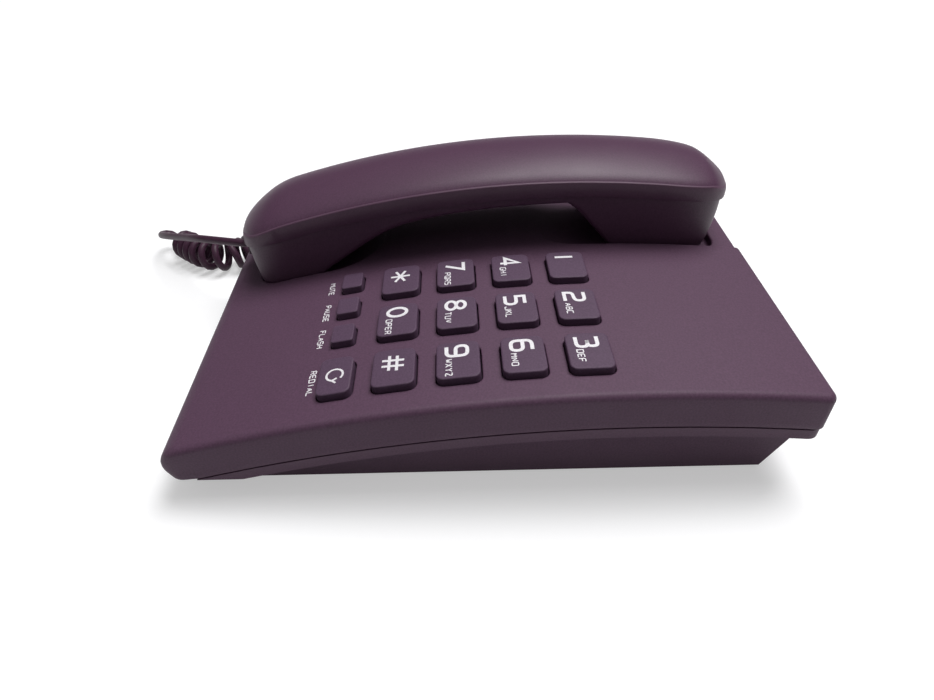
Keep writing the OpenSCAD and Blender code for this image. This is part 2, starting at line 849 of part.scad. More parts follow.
module microphone_boot() {
  color(grey_rubber) on_cup(microphone_y, shell_wall + fit_gap) difference() {
    cylinder(h = boot_h, d = boot_d);
    translate([0, 0, -slack]) cylinder(h = boot_h + 2 * slack, d = microphone_d + fit_gap);
  }
}

module microphone() {
  color(steel) on_cup(microphone_y, shell_wall + 2 * fit_gap) cylinder(h = microphone_h, d = microphone_d);
}

handset_weight_y = [-28, 18];
handset_weight_w = 18;
handset_weight_h = 4;
handset_weight_drop = band_h + 1.5;

module handset_weight() {
  middle = (handset_weight_y[0] + handset_weight_y[1]) / 2;
  length = handset_weight_y[1] - handset_weight_y[0];
  color(steel) on_back(middle) translate([-handset_weight_w / 2, -length / 2, -handset_weight_drop])
    cube([handset_weight_w, length, handset_weight_h]);
}

module at_handset_jack() {
  translate([handset_x, front_toe[1], handset_jack_z]) rotate([0, 0, 90]) children();
}

module handset_jack() {
  color(clear_plastic) at_handset_jack() socket(jack_w, handset_jack_h, jack_l, plug_w, plug_h, plug_in);
}

module handset_plug() {
  color(clear_plastic) at_handset_jack() modular_plug();
}

/* Curly cord: a straight tail from the handset, the curls, and a tail into the base */
tail_points = [[handset_x, front_toe[1] - plug_out - fit_gap, handset_jack_z], [-36, -100, 31.7], [-46, -119, 28],
  [-60, -134, 21], [-72, -146, 15], [-80, -152, 11], [-86, -153, 8.5], [-87, -150, 7.5]];
coil_points = [[-83, -146, 7.5], [-75, -138, 7.5], [-67, -127, 7.5], [-66, -117, 7.5], [-72, -108, 7.5],
  [-79, -99, 7.5], [-80, -86, 7.5], [-80, -60, 7.5], [-80, -20, 7.5], [-80, 20, 7.5], [-80, 45, 7.5]];
end_points = [[-79, 56, 8], [-76, 65, 9], [-70, 70, 9.5],
  [-half_w + pedestal_side - plug_out - fit_gap, base_jack_y, base_jack_z]];

function unit(v) = v / norm(v);
function running(list) = [for (i = 0, s = 0; i < len(list); s = s + list[i], i = i + 1) s];

route_steps = 10;
route = smooth(concat(tail_points, coil_points, end_points), route_steps);
route_gaps = [for (i = [0 : len(route) - 1]) i == len(route) - 1 ? 0 : norm(route[i + 1] - route[i])];
route_at = running(route_gaps);
route_table = [for (k = [0 : 2]) [for (i = [0 : len(route) - 1]) [route_at[i], route[i][k]]]];
route_l = route_at[len(route) - 1];
coil_from = route_at[len(tail_points) * route_steps];
coil_to = route_at[(len(tail_points) + len(coil_points) - 1) * route_steps];
ramp_l = 9;
look = 3;

function on_route(s) = [for (k = [0 : 2]) lookup(s, route_table[k])];
function heading(s) = unit(on_route(min(route_l, s + look)) - on_route(max(0, s - look)));
function bend(s) = norm(heading(min(route_l, s + look)) - heading(max(0, s - look))) / (2 * look);
function ease(t) = let (c = min(1, max(0, t))) c * c * (3 - 2 * c);
function swell(s) = ease(min(s - coil_from, coil_to - s) / ramp_l);
// Advance of one ring: an eighth of a curl, opened where the route bends and at the two ends
function advance(s) = coil_pitch / rings_per_curl * (1 + 0.9 * (1 - swell(s)))
  / (1 - min(0.4, bend(s) * coil_r));
coil_at = [for (s = coil_from; s < coil_to; s = s + advance(s)) s];

function curl(s, turn) = let (t = heading(s), a = unit(cross([0, 0, 1], t)), b = cross(t, a))
  on_route(s) + coil_r * swell(s) * (a * cos(turn) + b * sin(turn));

tail_step = 4;
tail_rings = ceil(coil_from / tail_step);
end_rings = ceil((route_l - coil_to) / tail_step);
cord_line = concat(
  [for (i = [0 : tail_rings - 1]) on_route(coil_from * i / tail_rings)],
  [for (i = [0 : len(coil_at) - 1]) curl(coil_at[i], 360 / rings_per_curl * i)],
  [for (i = [1 : end_rings]) on_route(coil_to + (route_l - coil_to) * i / end_rings)]);

cord_gap = min([for (i = [0 : len(cord_line) - 6]) min([for (j = [i + 5 : len(cord_line) - 1])
  norm(cord_line[i] - cord_line[j])])]) - cord_d;
cord_length = running([for (i = [0 : len(cord_line) - 1])
  i == len(cord_line) - 1 ? 0 : norm(cord_line[i + 1] - cord_line[i])])[len(cord_line) - 1];

// Frames carried along a line without twisting
function carried(side, t) = unit(side - t * (side * t));
function line_heading(p, i) = unit(p[min(len(p) - 1, i + 1)] - p[max(0, i - 1)]);

module tube(line, d) {
  n = len(line);
  sides = 6;
  heads = [for (i = [0 : n - 1]) line_heading(line, i)];
  first = unit(cross(heads[0], abs(heads[0].z) > 0.9 ? [1, 0, 0] : [0, 0, 1]));
  frames = [for (i = 0, f = first; i < n; i = i + 1, f = i < n ? carried(f, heads[i]) : f) f];
  points = [for (i = [0 : n - 1], k = [0 : sides - 1])
    line[i] + d / 2 * (frames[i] * cos(60 * k) + cross(heads[i], frames[i]) * sin(60 * k))];
  walls = [for (i = [0 : n - 2], k = [0 : sides - 1], half = [0, 1])
    let (a = i * sides + k, b = i * sides + (k + 1) % sides)
    half == 0 ? [a, a + sides, b] : [b, a + sides, b + sides]];
  start = [for (k = [1 : sides - 2]) [0, k, k + 1]];
  stop = [for (k = [1 : sides - 2]) [(n - 1) * sides, (n - 1) * sides + k + 1, (n - 1) * sides + k]];
  polyhedron(points, concat(walls, start, stop));
}

module curly_cord() {
  echo(cord_gap = cord_gap, cord_length = cord_length, curls = len(coil_at) / rings_per_curl);
  color(black_plastic) tube(cord_line, cord_d);
}

top_case();
bottom_case();
rubber_feet();
case_screws();
base_weight();
main_board();
board_screws();
keypad_mat();
number_key(0);  // key_1
number_key(1);  // key_2
number_key(2);  // key_3
number_key(3);  // key_4
number_key(4);  // key_5
number_key(5);  // key_6
number_key(6);  // key_7
number_key(7);  // key_8
number_key(8);  // key_9
number_key(9);  // key_star
number_key(10);  // key_0
number_key(11);  // key_hash
small_key(0);  // key_mute
small_key(1);  // key_pause
small_key(2);  // key_flash
wide_key();  // key_redial
hook_plunger();
hook_spring();
hook_switch();
ringer();
base_jack();
line_jack();
ringer_switch();
ringer_slider();
dial_mode_switch();
dial_mode_slider();
handset_back();
handset_front();
receiver_capsule();
receiver_ring();
microphone();
microphone_boot();
handset_weight();
handset_screws();
handset_jack();
handset_plug();
base_plug();
curly_cord();
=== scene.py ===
from math import acos, asin, cos, pi, radians, sin, sqrt, tan
import bpy
import numpy as np
from mathutils import Matrix, Vector
from mathutils.geometry import delaunay_2d_cdt


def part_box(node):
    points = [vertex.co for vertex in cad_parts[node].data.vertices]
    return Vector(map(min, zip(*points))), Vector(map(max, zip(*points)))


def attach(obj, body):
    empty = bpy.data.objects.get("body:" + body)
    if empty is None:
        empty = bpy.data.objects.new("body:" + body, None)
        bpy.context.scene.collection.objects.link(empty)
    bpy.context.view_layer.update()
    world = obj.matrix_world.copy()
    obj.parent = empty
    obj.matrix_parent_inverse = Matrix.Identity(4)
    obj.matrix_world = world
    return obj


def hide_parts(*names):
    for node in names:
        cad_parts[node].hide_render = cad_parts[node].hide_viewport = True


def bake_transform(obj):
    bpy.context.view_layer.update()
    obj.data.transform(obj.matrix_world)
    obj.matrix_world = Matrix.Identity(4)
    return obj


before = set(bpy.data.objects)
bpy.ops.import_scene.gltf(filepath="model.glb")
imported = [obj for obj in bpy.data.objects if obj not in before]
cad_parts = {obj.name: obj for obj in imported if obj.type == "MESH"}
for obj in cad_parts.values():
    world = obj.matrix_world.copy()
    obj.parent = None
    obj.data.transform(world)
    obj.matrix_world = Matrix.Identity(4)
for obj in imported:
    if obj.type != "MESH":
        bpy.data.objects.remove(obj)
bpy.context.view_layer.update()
mm = 0.001
print("frame loaded:", len(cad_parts), "nodes")

# camera first, at the photograph's angle
cameraSetup = {
    "place": (0.20429, -0.01325, 0.17094),
    "focalPixels": 657.62,
    "imageWidth": 934,
    "sensorWidth": 36,
    "clipStart": 0.01,
    "yaw": 1.7835,
    "pitch": 39.6174,
    "roll": 0.1237,
}


def linkObject(name, data):
    item = bpy.data.objects.new(name, data)
    bpy.context.scene.collection.objects.link(item)
    return item


def makeCamera(setup):
    yaw, pitch, roll = (radians(setup[k]) for k in ("yaw", "pitch", "roll"))
    level = cos(pitch)
    ahead = Vector((-level * cos(yaw), level * sin(yaw), -sin(pitch)))
    side = ahead.cross(Vector((0, 0, 1))).normalized()
    above = side.cross(ahead)
    right = side * cos(roll) + above * sin(roll)
    up = above * cos(roll) - side * sin(roll)
    data = bpy.data.cameras.new("camera")
    data.sensor_fit = "HORIZONTAL"
    data.sensor_width = setup["sensorWidth"]
    data.lens = setup["focalPixels"] / setup["imageWidth"] * data.sensor_width
    data.clip_start = setup["clipStart"]
    camera = linkObject("camera", data)
    turn = Matrix((right, up, -ahead)).transposed().to_4x4()
    camera.matrix_world = Matrix.Translation(setup["place"]) @ turn
    bpy.context.scene.camera = camera


makeCamera(cameraSetup)
print("camera placed")


# node helpers, for shaders and geometry
def newGroup(name, kind, inputs, outputs):
    group = bpy.data.node_groups.new(name, kind)
    for inOut, rows in (("INPUT", inputs), ("OUTPUT", outputs)):
        for label, form, *value in rows:
            socket = group.interface.new_socket(
                name=label, in_out=inOut, socket_type="NodeSocket" + form)
            if value:
                socket.default_value = value[0]
    enter, leave = (group.nodes.new("NodeGroup" + side) for side in ("Input", "Output"))
    return group, enter.outputs, leave.inputs


def addNode(tree, kind, links=None, **settings):
    # a node given as an input stands for its first output
    node = tree.nodes.new(kind)
    for key, value in settings.items():
        setattr(node, key, value)
    for key, value in (links or {}).items():
        if isinstance(value, bpy.types.Node):
            value = value.outputs[0]
        if isinstance(value, bpy.types.NodeSocket):
            tree.links.new(value, node.inputs[key])
        else:
            node.inputs[key].default_value = value
    return node


def mathNode(tree, operation, *values, **settings):
    links = dict(enumerate(values))
    return addNode(tree, "ShaderNodeMath", links, operation=operation, **settings)


def rangeNode(tree, value, *limits):
    links = dict(zip(("From Min", "From Max", "To Min", "To Max"), limits), Value=value)
    return addNode(tree, "ShaderNodeMapRange", links)


def buildMouldedGrain():
    # fine pits, uneven gloss, and edges lightened partly as rubbed wear and partly as a painted
    # highlight, shared by every finish
    group, enter, leave = newGroup("mouldedGrain", "ShaderNodeTree", [
        ("Color", "Color", (0.04, 0.03, 0.04, 1)),
        ("Rubbed Color", "Color", (0.08, 0.07, 0.08, 1)),
        ("Grain Scale", "Float", 1800.0),
        ("Roughness", "Float", 0.45),
        ("Smudge", "Float", 0.1),
        ("Wear", "Float", 0.5),
    ], [("Color", "Color"), ("Roughness", "Float"), ("Height", "Float")])
    spot = addNode(group, "ShaderNodeTexCoord").outputs["Object"]
    scale = enter["Grain Scale"]
    fine = addNode(group, "ShaderNodeTexNoise", {
        "Vector": spot, "Scale": scale, "Detail": 2.0, "Roughness": 0.6})
    pits = addNode(group, "ShaderNodeTexVoronoi", {
        "Vector": spot, "Scale": scale}, feature="SMOOTH_F1")
    broad = addNode(group, "ShaderNodeTexNoise", {
        "Vector": spot, "Scale": 55.0, "Detail": 4.0, "Roughness": 0.55})
    centred = mathNode(group, "SUBTRACT", broad, 0.5)
    uneven = mathNode(group, "MULTIPLY_ADD", centred, enter["Smudge"], enter["Roughness"])
    # edges are lightened by pointiness: partly rubbed wear, partly a painted highlight along the
    # edges
    pointed = addNode(group, "ShaderNodeNewGeometry").outputs["Pointiness"]
    patchy = mathNode(group, "MULTIPLY", rangeNode(group, pointed, 0.52, 0.6, 0.0, 1.0), broad)
    wearAndHighlight = mathNode(group, "MULTIPLY", patchy, enter["Wear"], use_clamp=True)
    speckle = rangeNode(group, fine, 0.3, 0.7, 0.86, 1.14)
    toned = addNode(group, "ShaderNodeVectorMath", {0: enter["Color"], "Scale": speckle},
                    operation="SCALE")
    # sockets 6 and 7 are the mix node's two colours, and output 2 is the mixed one
    colour = addNode(group, "ShaderNodeMix", {
        "Factor": wearAndHighlight, 6: toned, 7: enter["Rubbed Color"]}, data_type="RGBA").outputs[2]
    group.links.new(colour, leave["Color"])
    group.links.new(uneven.outputs[0], leave["Roughness"])
    group.links.new(mathNode(group, "ADD", fine, pits).outputs[0], leave["Height"])
    return group


mouldedGrain = buildMouldedGrain()


def finishMaterial(name, color, wearAndHighlight, grain, rough, smudge, wearAndHighlightAmount, depth, plain):
    material = bpy.data.materials.new(name)
    material.use_nodes = True
    material.diffuse_color = (*color, 1)
    tree = material.node_tree
    shader = tree.nodes["Principled BSDF"].inputs
    effect = addNode(tree, "ShaderNodeGroup", node_tree=mouldedGrain)
    for key, value in (("Color", (*color, 1)), ("Rubbed Color", (*wearAndHighlight, 1)), ("Grain Scale", grain),
                       ("Roughness", rough), ("Smudge", smudge), ("Wear", wearAndHighlightAmount)):
        effect.inputs[key].default_value = value
    bump = addNode(tree, "ShaderNodeBump", {
        "Height": effect.outputs["Height"], "Distance": depth, "Strength": 1.0})
    tree.links.new(effect.outputs["Color"], shader["Base Color"])
    tree.links.new(effect.outputs["Roughness"], shader["Roughness"])
    tree.links.new(bump.outputs["Normal"], shader["Normal"])
    for key, value in plain.items():
        shader[key].default_value = value
    return material


# colour, rubbed wear and painted edge highlight colour, grain scale, roughness, smudge, amount of
# edge wear and painted edge highlight, grain depth in metres, shader values
metal = {"Metallic": 1.0}
smoke = {"Transmission Weight": 0.25, "IOR": 1.49}
dull, duller, dullest = ({"Specular IOR Level": level} for level in (0.3, 0.28, 0.22))
finishes = {
    "casePlastic": ((0.092, 0.045, 0.081), (0.15, 0.09, 0.13), 1500, 0.58, 0.14, 0.5, 2e-5, dull),
    "handsetPlastic": ((0.083, 0.037, 0.071), (0.14, 0.085, 0.12), 1700, 0.44, 0.14, 0.6, 1.5e-5,
                       dull),
    "keyPlastic": ((0.088, 0.05, 0.088), (0.13, 0.085, 0.12), 1700, 0.55, 0.16, 0.6, 1.4e-5, duller),
    "whitePrint": ((0.82, 0.8, 0.83), (0.6, 0.58, 0.6), 2600, 0.5, 0.1, 0.4, 6e-6, {}),
    "cordJacket": ((0.055, 0.021, 0.042), (0.09, 0.05, 0.075), 900, 0.45, 0.2, 0.3, 1e-5, dullest),
    "softRubber": ((0.09, 0.09, 0.095), (0.16, 0.16, 0.16), 900, 0.75, 0.12, 0.5, 3e-5, {}),
    "sliderPlastic": ((0.05, 0.035, 0.048), (0.12, 0.1, 0.12), 2000, 0.35, 0.1, 0.8, 1e-5, {}),
    "switchPlastic": ((0.06, 0.055, 0.06), (0.12, 0.11, 0.12), 1200, 0.5, 0.1, 0.4, 1e-5, {}),
    "platedSteel": ((0.6, 0.6, 0.61), (0.75, 0.75, 0.76), 1400, 0.32, 0.25, 0.5, 8e-6, metal),
    "boardGreen": ((0.03, 0.11, 0.055), (0.1, 0.2, 0.1), 700, 0.45, 0.15, 0.4, 2e-5, {}),
    "smokePlastic": ((0.06, 0.03, 0.05), (0.12, 0.08, 0.11), 800, 0.22, 0.12, 0.3, 6e-6, smoke),
    "goldContact": ((0.8, 0.58, 0.22), (0.9, 0.75, 0.4), 1500, 0.25, 0.2, 0.4, 4e-6, metal),
}
finish = {name: finishMaterial(name, *values) for name, values in finishes.items()}
print("finishes made:", len(finish))


# mesh helpers, in millimetres
def settle(piece):
    # turns the modifiers into plain mesh
    bpy.context.view_layer.update()
    graph = bpy.context.evaluated_depsgraph_get()
    mesh = bpy.data.meshes.new_from_object(piece.evaluated_get(graph))
    piece.modifiers.clear()
    old = piece.data
    piece.data = mesh
    bpy.data.meshes.remove(old)
    return piece


def discard(piece):
    mesh = piece.data
    bpy.data.objects.remove(piece)
    bpy.data.meshes.remove(mesh)


def quarterTurn(steps):
    return [pi / 2 * k / steps for k in range(steps + 1)]


def onArc(cx, cy, radius, degrees):
    a = radians(degrees)
    return (cx + radius * cos(a), cy + radius * sin(a))


def circle(radius, sides):
    turns = [2 * pi * k / sides for k in range(sides)]
    return [(radius * cos(a), radius * sin(a)) for a in turns]


def roundedRing(w, d, r, inset=0.0, step=4.0, arc=8, rearMarks=()):
    hw, hd = w / 2 - inset, d / 2 - inset
    rr = max(r - inset, 0.02)
    nx, ny = (max(1, round((side - 2 * r) / step)) for side in (w, d))
    corners = [(hw - rr, hd - rr, 0), (rr - hw, hd - rr, 90), (rr - hw, rr - hd, 180),
               (hw - rr, rr - hd, 270)]
    points = []
    for i, (cx, cy, a0) in enumerate(corners):
        points += [onArc(cx, cy, rr, a0 + 90 * k / arc) for k in range(arc + 1)]
        n = nx if i % 2 == 0 else ny
        ex, ey, a1 = corners[(i + 1) % 4]
        (x0, y0), (x1, y1) = points[-1], onArc(ex, ey, rr, a1)
        side = [(x0 + (x1 - x0) * k / n, y0 + (y1 - y0) * k / n) for k in range(1, n)]
        if i == 0:
            side = sorted(side + [(x, y0) for x in rearMarks], reverse=True)
        points += side
    return points


def inside(points, ring):
    px, py = points[:, 0], points[:, 1]
    hit = np.zeros(len(points), bool)
    x0, y0 = ring[-1]
    for x1, y1 in ring:
        cross = (y1 > py) != (y0 > py)
        if y1 != y0:
            hit ^= cross & (px < (x0 - x1) * (py - y1) / (y0 - y1) + x1)
        x0, y0 = x1, y1
    return hit


gridRoom = 0.45  # share of a step that grid points keep from a border
markRoom = 0.25  # and what extra points keep


def fillPlate(outer, holes, step, extra=()):
    # triangles between an outline and its holes, with a grid of points inside
    borders = [outer] + list(holes)
    ring = np.array(outer)
    xs, ys = (np.arange(ring[:, k].min() + step / 2, ring[:, k].max(), step) for k in (0, 1))
    grid = np.array([(x, y) for y in ys for x in xs] + list(extra)).reshape(-1, 2)
    room = np.array([step * gridRoom] * (len(xs) * len(ys)) + [markRoom] * len(extra))

    def within(points):
        hit = inside(points, outer)
        for hole in holes:
            hit &= ~inside(points, hole)
        return hit

    keep = within(grid)
    for border in borders:
        b = np.array(border)
        gaps = np.hypot(grid[:, None, 0] - b[None, :, 0], grid[:, None, 1] - b[None, :, 1])
        keep &= np.min(gaps, axis=1) > room
    points, edges = [], []
    for border in borders:
        base, n = len(points), len(border)
        points += [tuple(p) for p in border]
        edges += [(base + i, base + (i + 1) % n) for i in range(n)]
    borderCount = len(points)
    points += [tuple(p) for p in grid[keep]]
    out = delaunay_2d_cdt([Vector(p) for p in points], edges, [], 0, 1e-7)
    verts, faces, origin = np.array([tuple(v) for v in out[0]]), out[2], out[3]
    good = within(np.array([verts[list(f)].mean(0) for f in faces]))
    index = {o: new for new, old in enumerate(origin) for o in old}
    order = [index[i] for i in range(borderCount)]
    return verts, [tuple(f) for f, g in zip(faces, good) if g], order


class Shell:
    # collects rings and plates into one mesh, with a material number for each face
    def __init__(self):
        self.verts, self.faces, self.kind = [], [], []

    def add(self, points):
        base = len(self.verts)
        self.verts += [tuple(p) for p in points]
        return list(range(base, len(self.verts)))

    def face(self, ids, flip=False, kind=0):
        self.faces.append(tuple(ids[::-1] if flip else ids))
        self.kind.append(kind)

    def strip(self, a, b, flip=False, kind=0, closed=True):
        n = len(a)
        for i in range(n if closed else n - 1):
            j = (i + 1) % n
            self.face((a[i], a[j], b[j], b[i]), flip, kind)

    def stack(self, rings, flip=False):
        for a, b in zip(rings, rings[1:]):
            self.strip(a, b, flip)

    def block(self, rings, flip=False):
        self.stack(rings, flip)
        self.face(rings[0], not flip)
        self.face(rings[-1], flip)

    def plate(self, outer, holes, step, place, ids, flip=False, extra=()):
        verts, faces, order = fillPlate(outer, holes, step, extra)
        known = dict(zip(order, ids))
        for i, point in enumerate(verts):
            if i not in known:
                known[i] = self.add([place(*point)])[0]
        for f in faces:
            self.face([known[i] for i in f], flip)

    def piece(self, name, *materials, crease=None):
        mesh = bpy.data.meshes.new(name)
        mesh.from_pydata([tuple(c * mm for c in v) for v in self.verts], [], self.faces)
        for material in materials:
            mesh.materials.append(material)
        mesh.polygons.foreach_set("material_index", self.kind)
        mesh.polygons.foreach_set("use_smooth", [True] * len(mesh.polygons))
        mesh.update()
        if crease:
            mesh.set_sharp_from_angle(angle=radians(crease))
        return linkObject(name, mesh)


def smoothStep(t):
    t = min(1.0, max(0.0, t))
    return t * t * (3 - 2 * t)


def softMax(a, b, k):
    h = max(0.0, k - abs(a - b)) / k
    return max(a, b) + h * h * k / 4


# curly cord: a tail from the handset's plug, the curls, and a tail into the base
cordSize = {
    "diameter": 3.2,
    "sides": 12,
    "coilRadius": 5.5,
    "coilPitch": 3.8,
    "stepsPerCurl": 16,
    "ramp": 9.0,  # over which the curls open at each end
    "rampPitch": 0.9,
    "bendLimit": 0.4,
    "look": 3.0,
    "routeSteps": 10,
    "tailSteps": 32,
    "endSteps": 14,
    "tail": [(-36, -95.7, 31.7), (-36, -100, 31.7), (-46, -119, 28), (-60, -134, 21), (-72, -146, 15),
             (-80, -152, 11), (-86, -153, 8.5), (-87, -150, 7.5)],
    "coil": [(x, y, 7.5) for x, y in (
        (-83, -146), (-75, -138), (-67, -127), (-66, -117), (-72, -108), (-79, -99), (-80, -86),
        (-80, -60), (-80, -20), (-80, 20), (-80, 45))],
    "end": [(-79, 56, 8), (-76, 65, 9), (-70, 70, 9.5), (-65.2, 70, 9.5)],
}


def throughPoints(points, steps):
    # a smooth line through the points
    p = [np.array(q, float) for q in points]
    p = [2 * p[0] - p[1]] + p + [2 * p[-1] - p[-2]]
    line = []
    for i in range(1, len(p) - 2):
        a, b, c, d = p[i - 1:i + 3]
        for k in range(steps):
            t = k / steps
            line.append(0.5 * (2 * b + (c - a) * t + (2 * a - 5 * b + 4 * c - d) * t * t
                               + (3 * b - a - 3 * c + d) * t ** 3))
    return np.array(line + [p[-2]])


def cordLine(size):
    steps, look, radius = size["routeSteps"], size["look"], size["coilRadius"]
    route = throughPoints(size["tail"] + size["coil"] + size["end"], steps)
    at = np.concatenate([[0], np.cumsum(np.linalg.norm(np.diff(route, axis=0), axis=1))])
    total, first = at[-1], at[len(size["tail"]) * steps]
    last = at[(len(size["tail"]) + len(size["coil"]) - 1) * steps]

    def onRoute(s):
        return np.array([np.interp(s, at, route[:, k]) for k in range(3)])

    def heading(s):
        d = onRoute(min(total, s + look)) - onRoute(max(0, s - look))
        return d / np.linalg.norm(d)

    def bend(s):
        return np.linalg.norm(heading(min(total, s + look)) - heading(max(0, s - look))) / (2 * look)

    tailSteps, endSteps = size["tailSteps"], size["endSteps"]
    line = [onRoute(first * i / tailSteps) for i in range(tailSteps)]
    s, turn = first, 0.0
    while s < last:
        ahead = heading(s)
        side = np.cross([0, 0, 1], ahead)
        side /= np.linalg.norm(side)
        above = np.cross(ahead, side)
        swell = smoothStep(min(s - first, last - s) / size["ramp"])
        around = side * cos(turn) + above * sin(turn)
        line.append(onRoute(s) + radius * swell * around)
        pitch = size["coilPitch"] * (1 + size["rampPitch"] * (1 - swell))
        pitch /= 1 - min(size["bendLimit"], bend(s) * radius)
        s += pitch / size["stepsPerCurl"]
        turn += 2 * pi / size["stepsPerCurl"]
    line += [onRoute(last + (total - last) * i / endSteps) for i in range(1, endSteps + 1)]
    return np.array(line)


def endTree(tree, shape, material, end):
    real = addNode(tree, "GeometryNodeRealizeInstances", {"Geometry": shape})
    painted = addNode(tree, "GeometryNodeSetMaterial", {"Geometry": real, "Material": material})
    tree.links.new(painted.outputs[0], end)
    return tree


def tubeTree():
    # sweeps a round section along a line of points
    tree, enter, leave = newGroup("cordTube", "GeometryNodeTree", [
        ("Line", "Geometry"), ("Diameter", "Float", 0.0032), ("Sides", "Int", 12),
        ("Jacket", "Material")], [("Tube", "Geometry")])
    curve = addNode(tree, "GeometryNodeMeshToCurve", {"Mesh": enter["Line"]})
    ring = addNode(tree, "GeometryNodeCurvePrimitiveCircle", {
        "Resolution": enter["Sides"], "Radius": mathNode(tree, "MULTIPLY", enter["Diameter"], 0.5)})
    swept = addNode(tree, "GeometryNodeCurveToMesh", {
        "Curve": curve, "Profile Curve": ring, "Fill Caps": True})
    smooth = addNode(tree, "GeometryNodeSetShadeSmooth", {"Geometry": swept})
    return endTree(tree, smooth, enter["Jacket"], leave["Tube"])


def growWith(piece, tree, values):
    modifier = piece.modifiers.new(tree.name, "NODES")
    modifier.node_group = tree
    for item in tree.interface.items_tree:
        if item.item_type == "SOCKET" and item.in_out == "INPUT" and item.name in values:
            modifier[item.identifier] = values[item.name]
    return settle(piece)


cordPath = cordLine(cordSize) * mm
cordMesh = bpy.data.meshes.new("curlyCord")
cordMesh.from_pydata(cordPath.tolist(), [(i, i + 1) for i in range(len(cordPath) - 1)], [])
curlyCord = linkObject("curlyCord", cordMesh)
growWith(curlyCord, tubeTree(), {"Diameter": cordSize["diameter"] * mm, "Sides": cordSize["sides"],
                                 "Jacket": finish["cordJacket"]})
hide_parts("curly_cord")
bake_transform(curlyCord)
tuple(cordPath[0])
[tuple(p) for p in cordPath]

# base: the arched top with its cradle wells and key openings
holdWidth = 0.35  # flat strip beside a rounded edge, which keeps the shading clean
baseSize = {
    "width": 140.0,
    "depth": 200.0,
    "crownZ": 41.5,
    "crownY": 45.0,
    "crownRadius": 520.0,
    "cornerRadius": 3.4,
    "edgeRadius": 2.2,
    "edgeSteps": 7,
    "sideDepth": 13.0,
    "lipZ": 9.015,
    "lipSoft": 0.6,
    "wallRows": ((0, 8), (0, 6.5), (0, 5), (0, 3.5), (0, 2), (0, 0.4), (0.12, 0.12), (0.4, 0.0),
                 (2.2, 0.0)),
    "nose": ((9, 1.2), (11, 2.4), (12.5, 3.2), (14.5, 3.6), (16, 3.3), (18, 2.4), (20, 0.9),
             (21.2, 0)),
    "noseReach": 7.0,
    "skin": 1.4,
    "gridStep": 3.0,
}
cradleSize = {
    "middleX": -36.0,
    "halfWidth": 20.7,
    "corner": 8.0,
    "sink": 5.1,
    "rampTilt": 9.5,
    "rampSoft": 0.8,
    "rimRound": 0.9,
    "floorRound": 1.6,
    "floorStep": 2.2,
    "ear": {"roundY": 36.5, "endY": 91.0, "rampY": 46.0},
    "mouth": {"roundY": -60.0, "endY": -89.0, "rampY": -63.0},
    "hook": {"y": 57.0, "width": 8.8, "depth": 5.8, "corner": 0.6, "slotDepth": 2.4},
    "runOut": {"sink": 1.4, "fromY": 83.0, "run": 2.0, "soft": 0.45, "markFrom": 82.5,
               "markStep": 1.5, "markRows": 11},
}
keypadSize = {
    "middleX": 27.4,
    "middleY": -11.0,
    "pitchX": 24.2,
    "pitchY": 20.0,
    "functionRow": -38.5,
    "smallX": (-28.5, -12.8, 2.9),
    "gap": 0.4,
    "rise": 2.5,
    "number": (16.9, 13.5, 2.4),
    "small": (9.2, 7.7, 1.2),
    "wide": (16.9, 10.8, 2.4),
    "topRound": 0.5,
    "topStep": 1.6,
    "flangeDrop": 4.97,
    "flange": 1.0,
    "openingRows": ((0.3 + holdWidth, 0.0), (0.3, 0.0), (0.1, 0.08), (0.0, 0.3), (0.0, 0.6),
                    (0.0, 2.6)),
}
archZ = baseSize["crownZ"] - baseSize["crownRadius"]


def topZ(y, drop=0.0):
    return archZ + sqrt((baseSize["crownRadius"] - drop) ** 2 - (y - baseSize["crownY"]) ** 2)


def archTilt(y):
    return asin((baseSize["crownY"] - y) / baseSize["crownRadius"])


keypadTilt = archTilt(keypadSize["middleY"])


def onKeypad(x, y, z):
    c, s = cos(keypadTilt), sin(keypadTilt)
    return (keypadSize["middleX"] + x, keypadSize["middleY"] + y * c - z * s,
            topZ(keypadSize["middleY"]) + y * s + z * c)


def keypadArc(y, rise=0.0):
    r = baseSize["crownRadius"]
    return sqrt((r + rise) ** 2 - y * y) - r


keyPlaces = {}
numberNames = [*"123456789", "star", "0", "hash"]
for i, label in enumerate(numberNames):
    x, y = (i % 3 - 1) * keypadSize["pitchX"], (2 - i // 3) * keypadSize["pitchY"]
    keyPlaces["key_" + label] = (x, y, keypadSize["number"])
for x, label in zip(keypadSize["smallX"], ["mute", "pause", "flash"]):
    keyPlaces["key_" + label] = (x, keypadSize["functionRow"], keypadSize["small"])
keyPlaces["key_redial"] = (keypadSize["pitchX"], keypadSize["functionRow"], keypadSize["wide"])


def wellRing(roundY, endY):
    # a half circle at one end and rounded corners at the other
    half, corner, x0 = cradleSize["halfWidth"], cradleSize["corner"], cradleSize["middleX"]
    length = abs(endY - roundY)
    straight, wide = length - corner, 2 * (half - corner)
    n = max(2, round(straight / 4))
    ring = [(half, straight * k / n) for k in range(n)]
    ring += [onArc(half - corner, straight, corner, a) for a in range(0, 91, 10)]
    ring += [(half - corner - wide * k / 7, length) for k in range(1, 7)]
    ring += [onArc(corner - half, straight, corner, a) for a in range(90, 181, 10)]
    ring += [(-half, straight * (1 - k / n)) for k in range(1, n)]
    ring += [onArc(0, 0, half, a) for a in range(180, 360, 5)]
    side = 1 if endY > roundY else -1
    return [(x0 + x, roundY + side * y) for x, y in ring][::side]


def outwardNormals(ring):
    p = np.array(ring)
    t = np.roll(p, -1, axis=0) - np.roll(p, 1, axis=0)
    n = np.stack([t[:, 1], -t[:, 0]], axis=1)
    return n / np.linalg.norm(n, axis=1)[:, None]


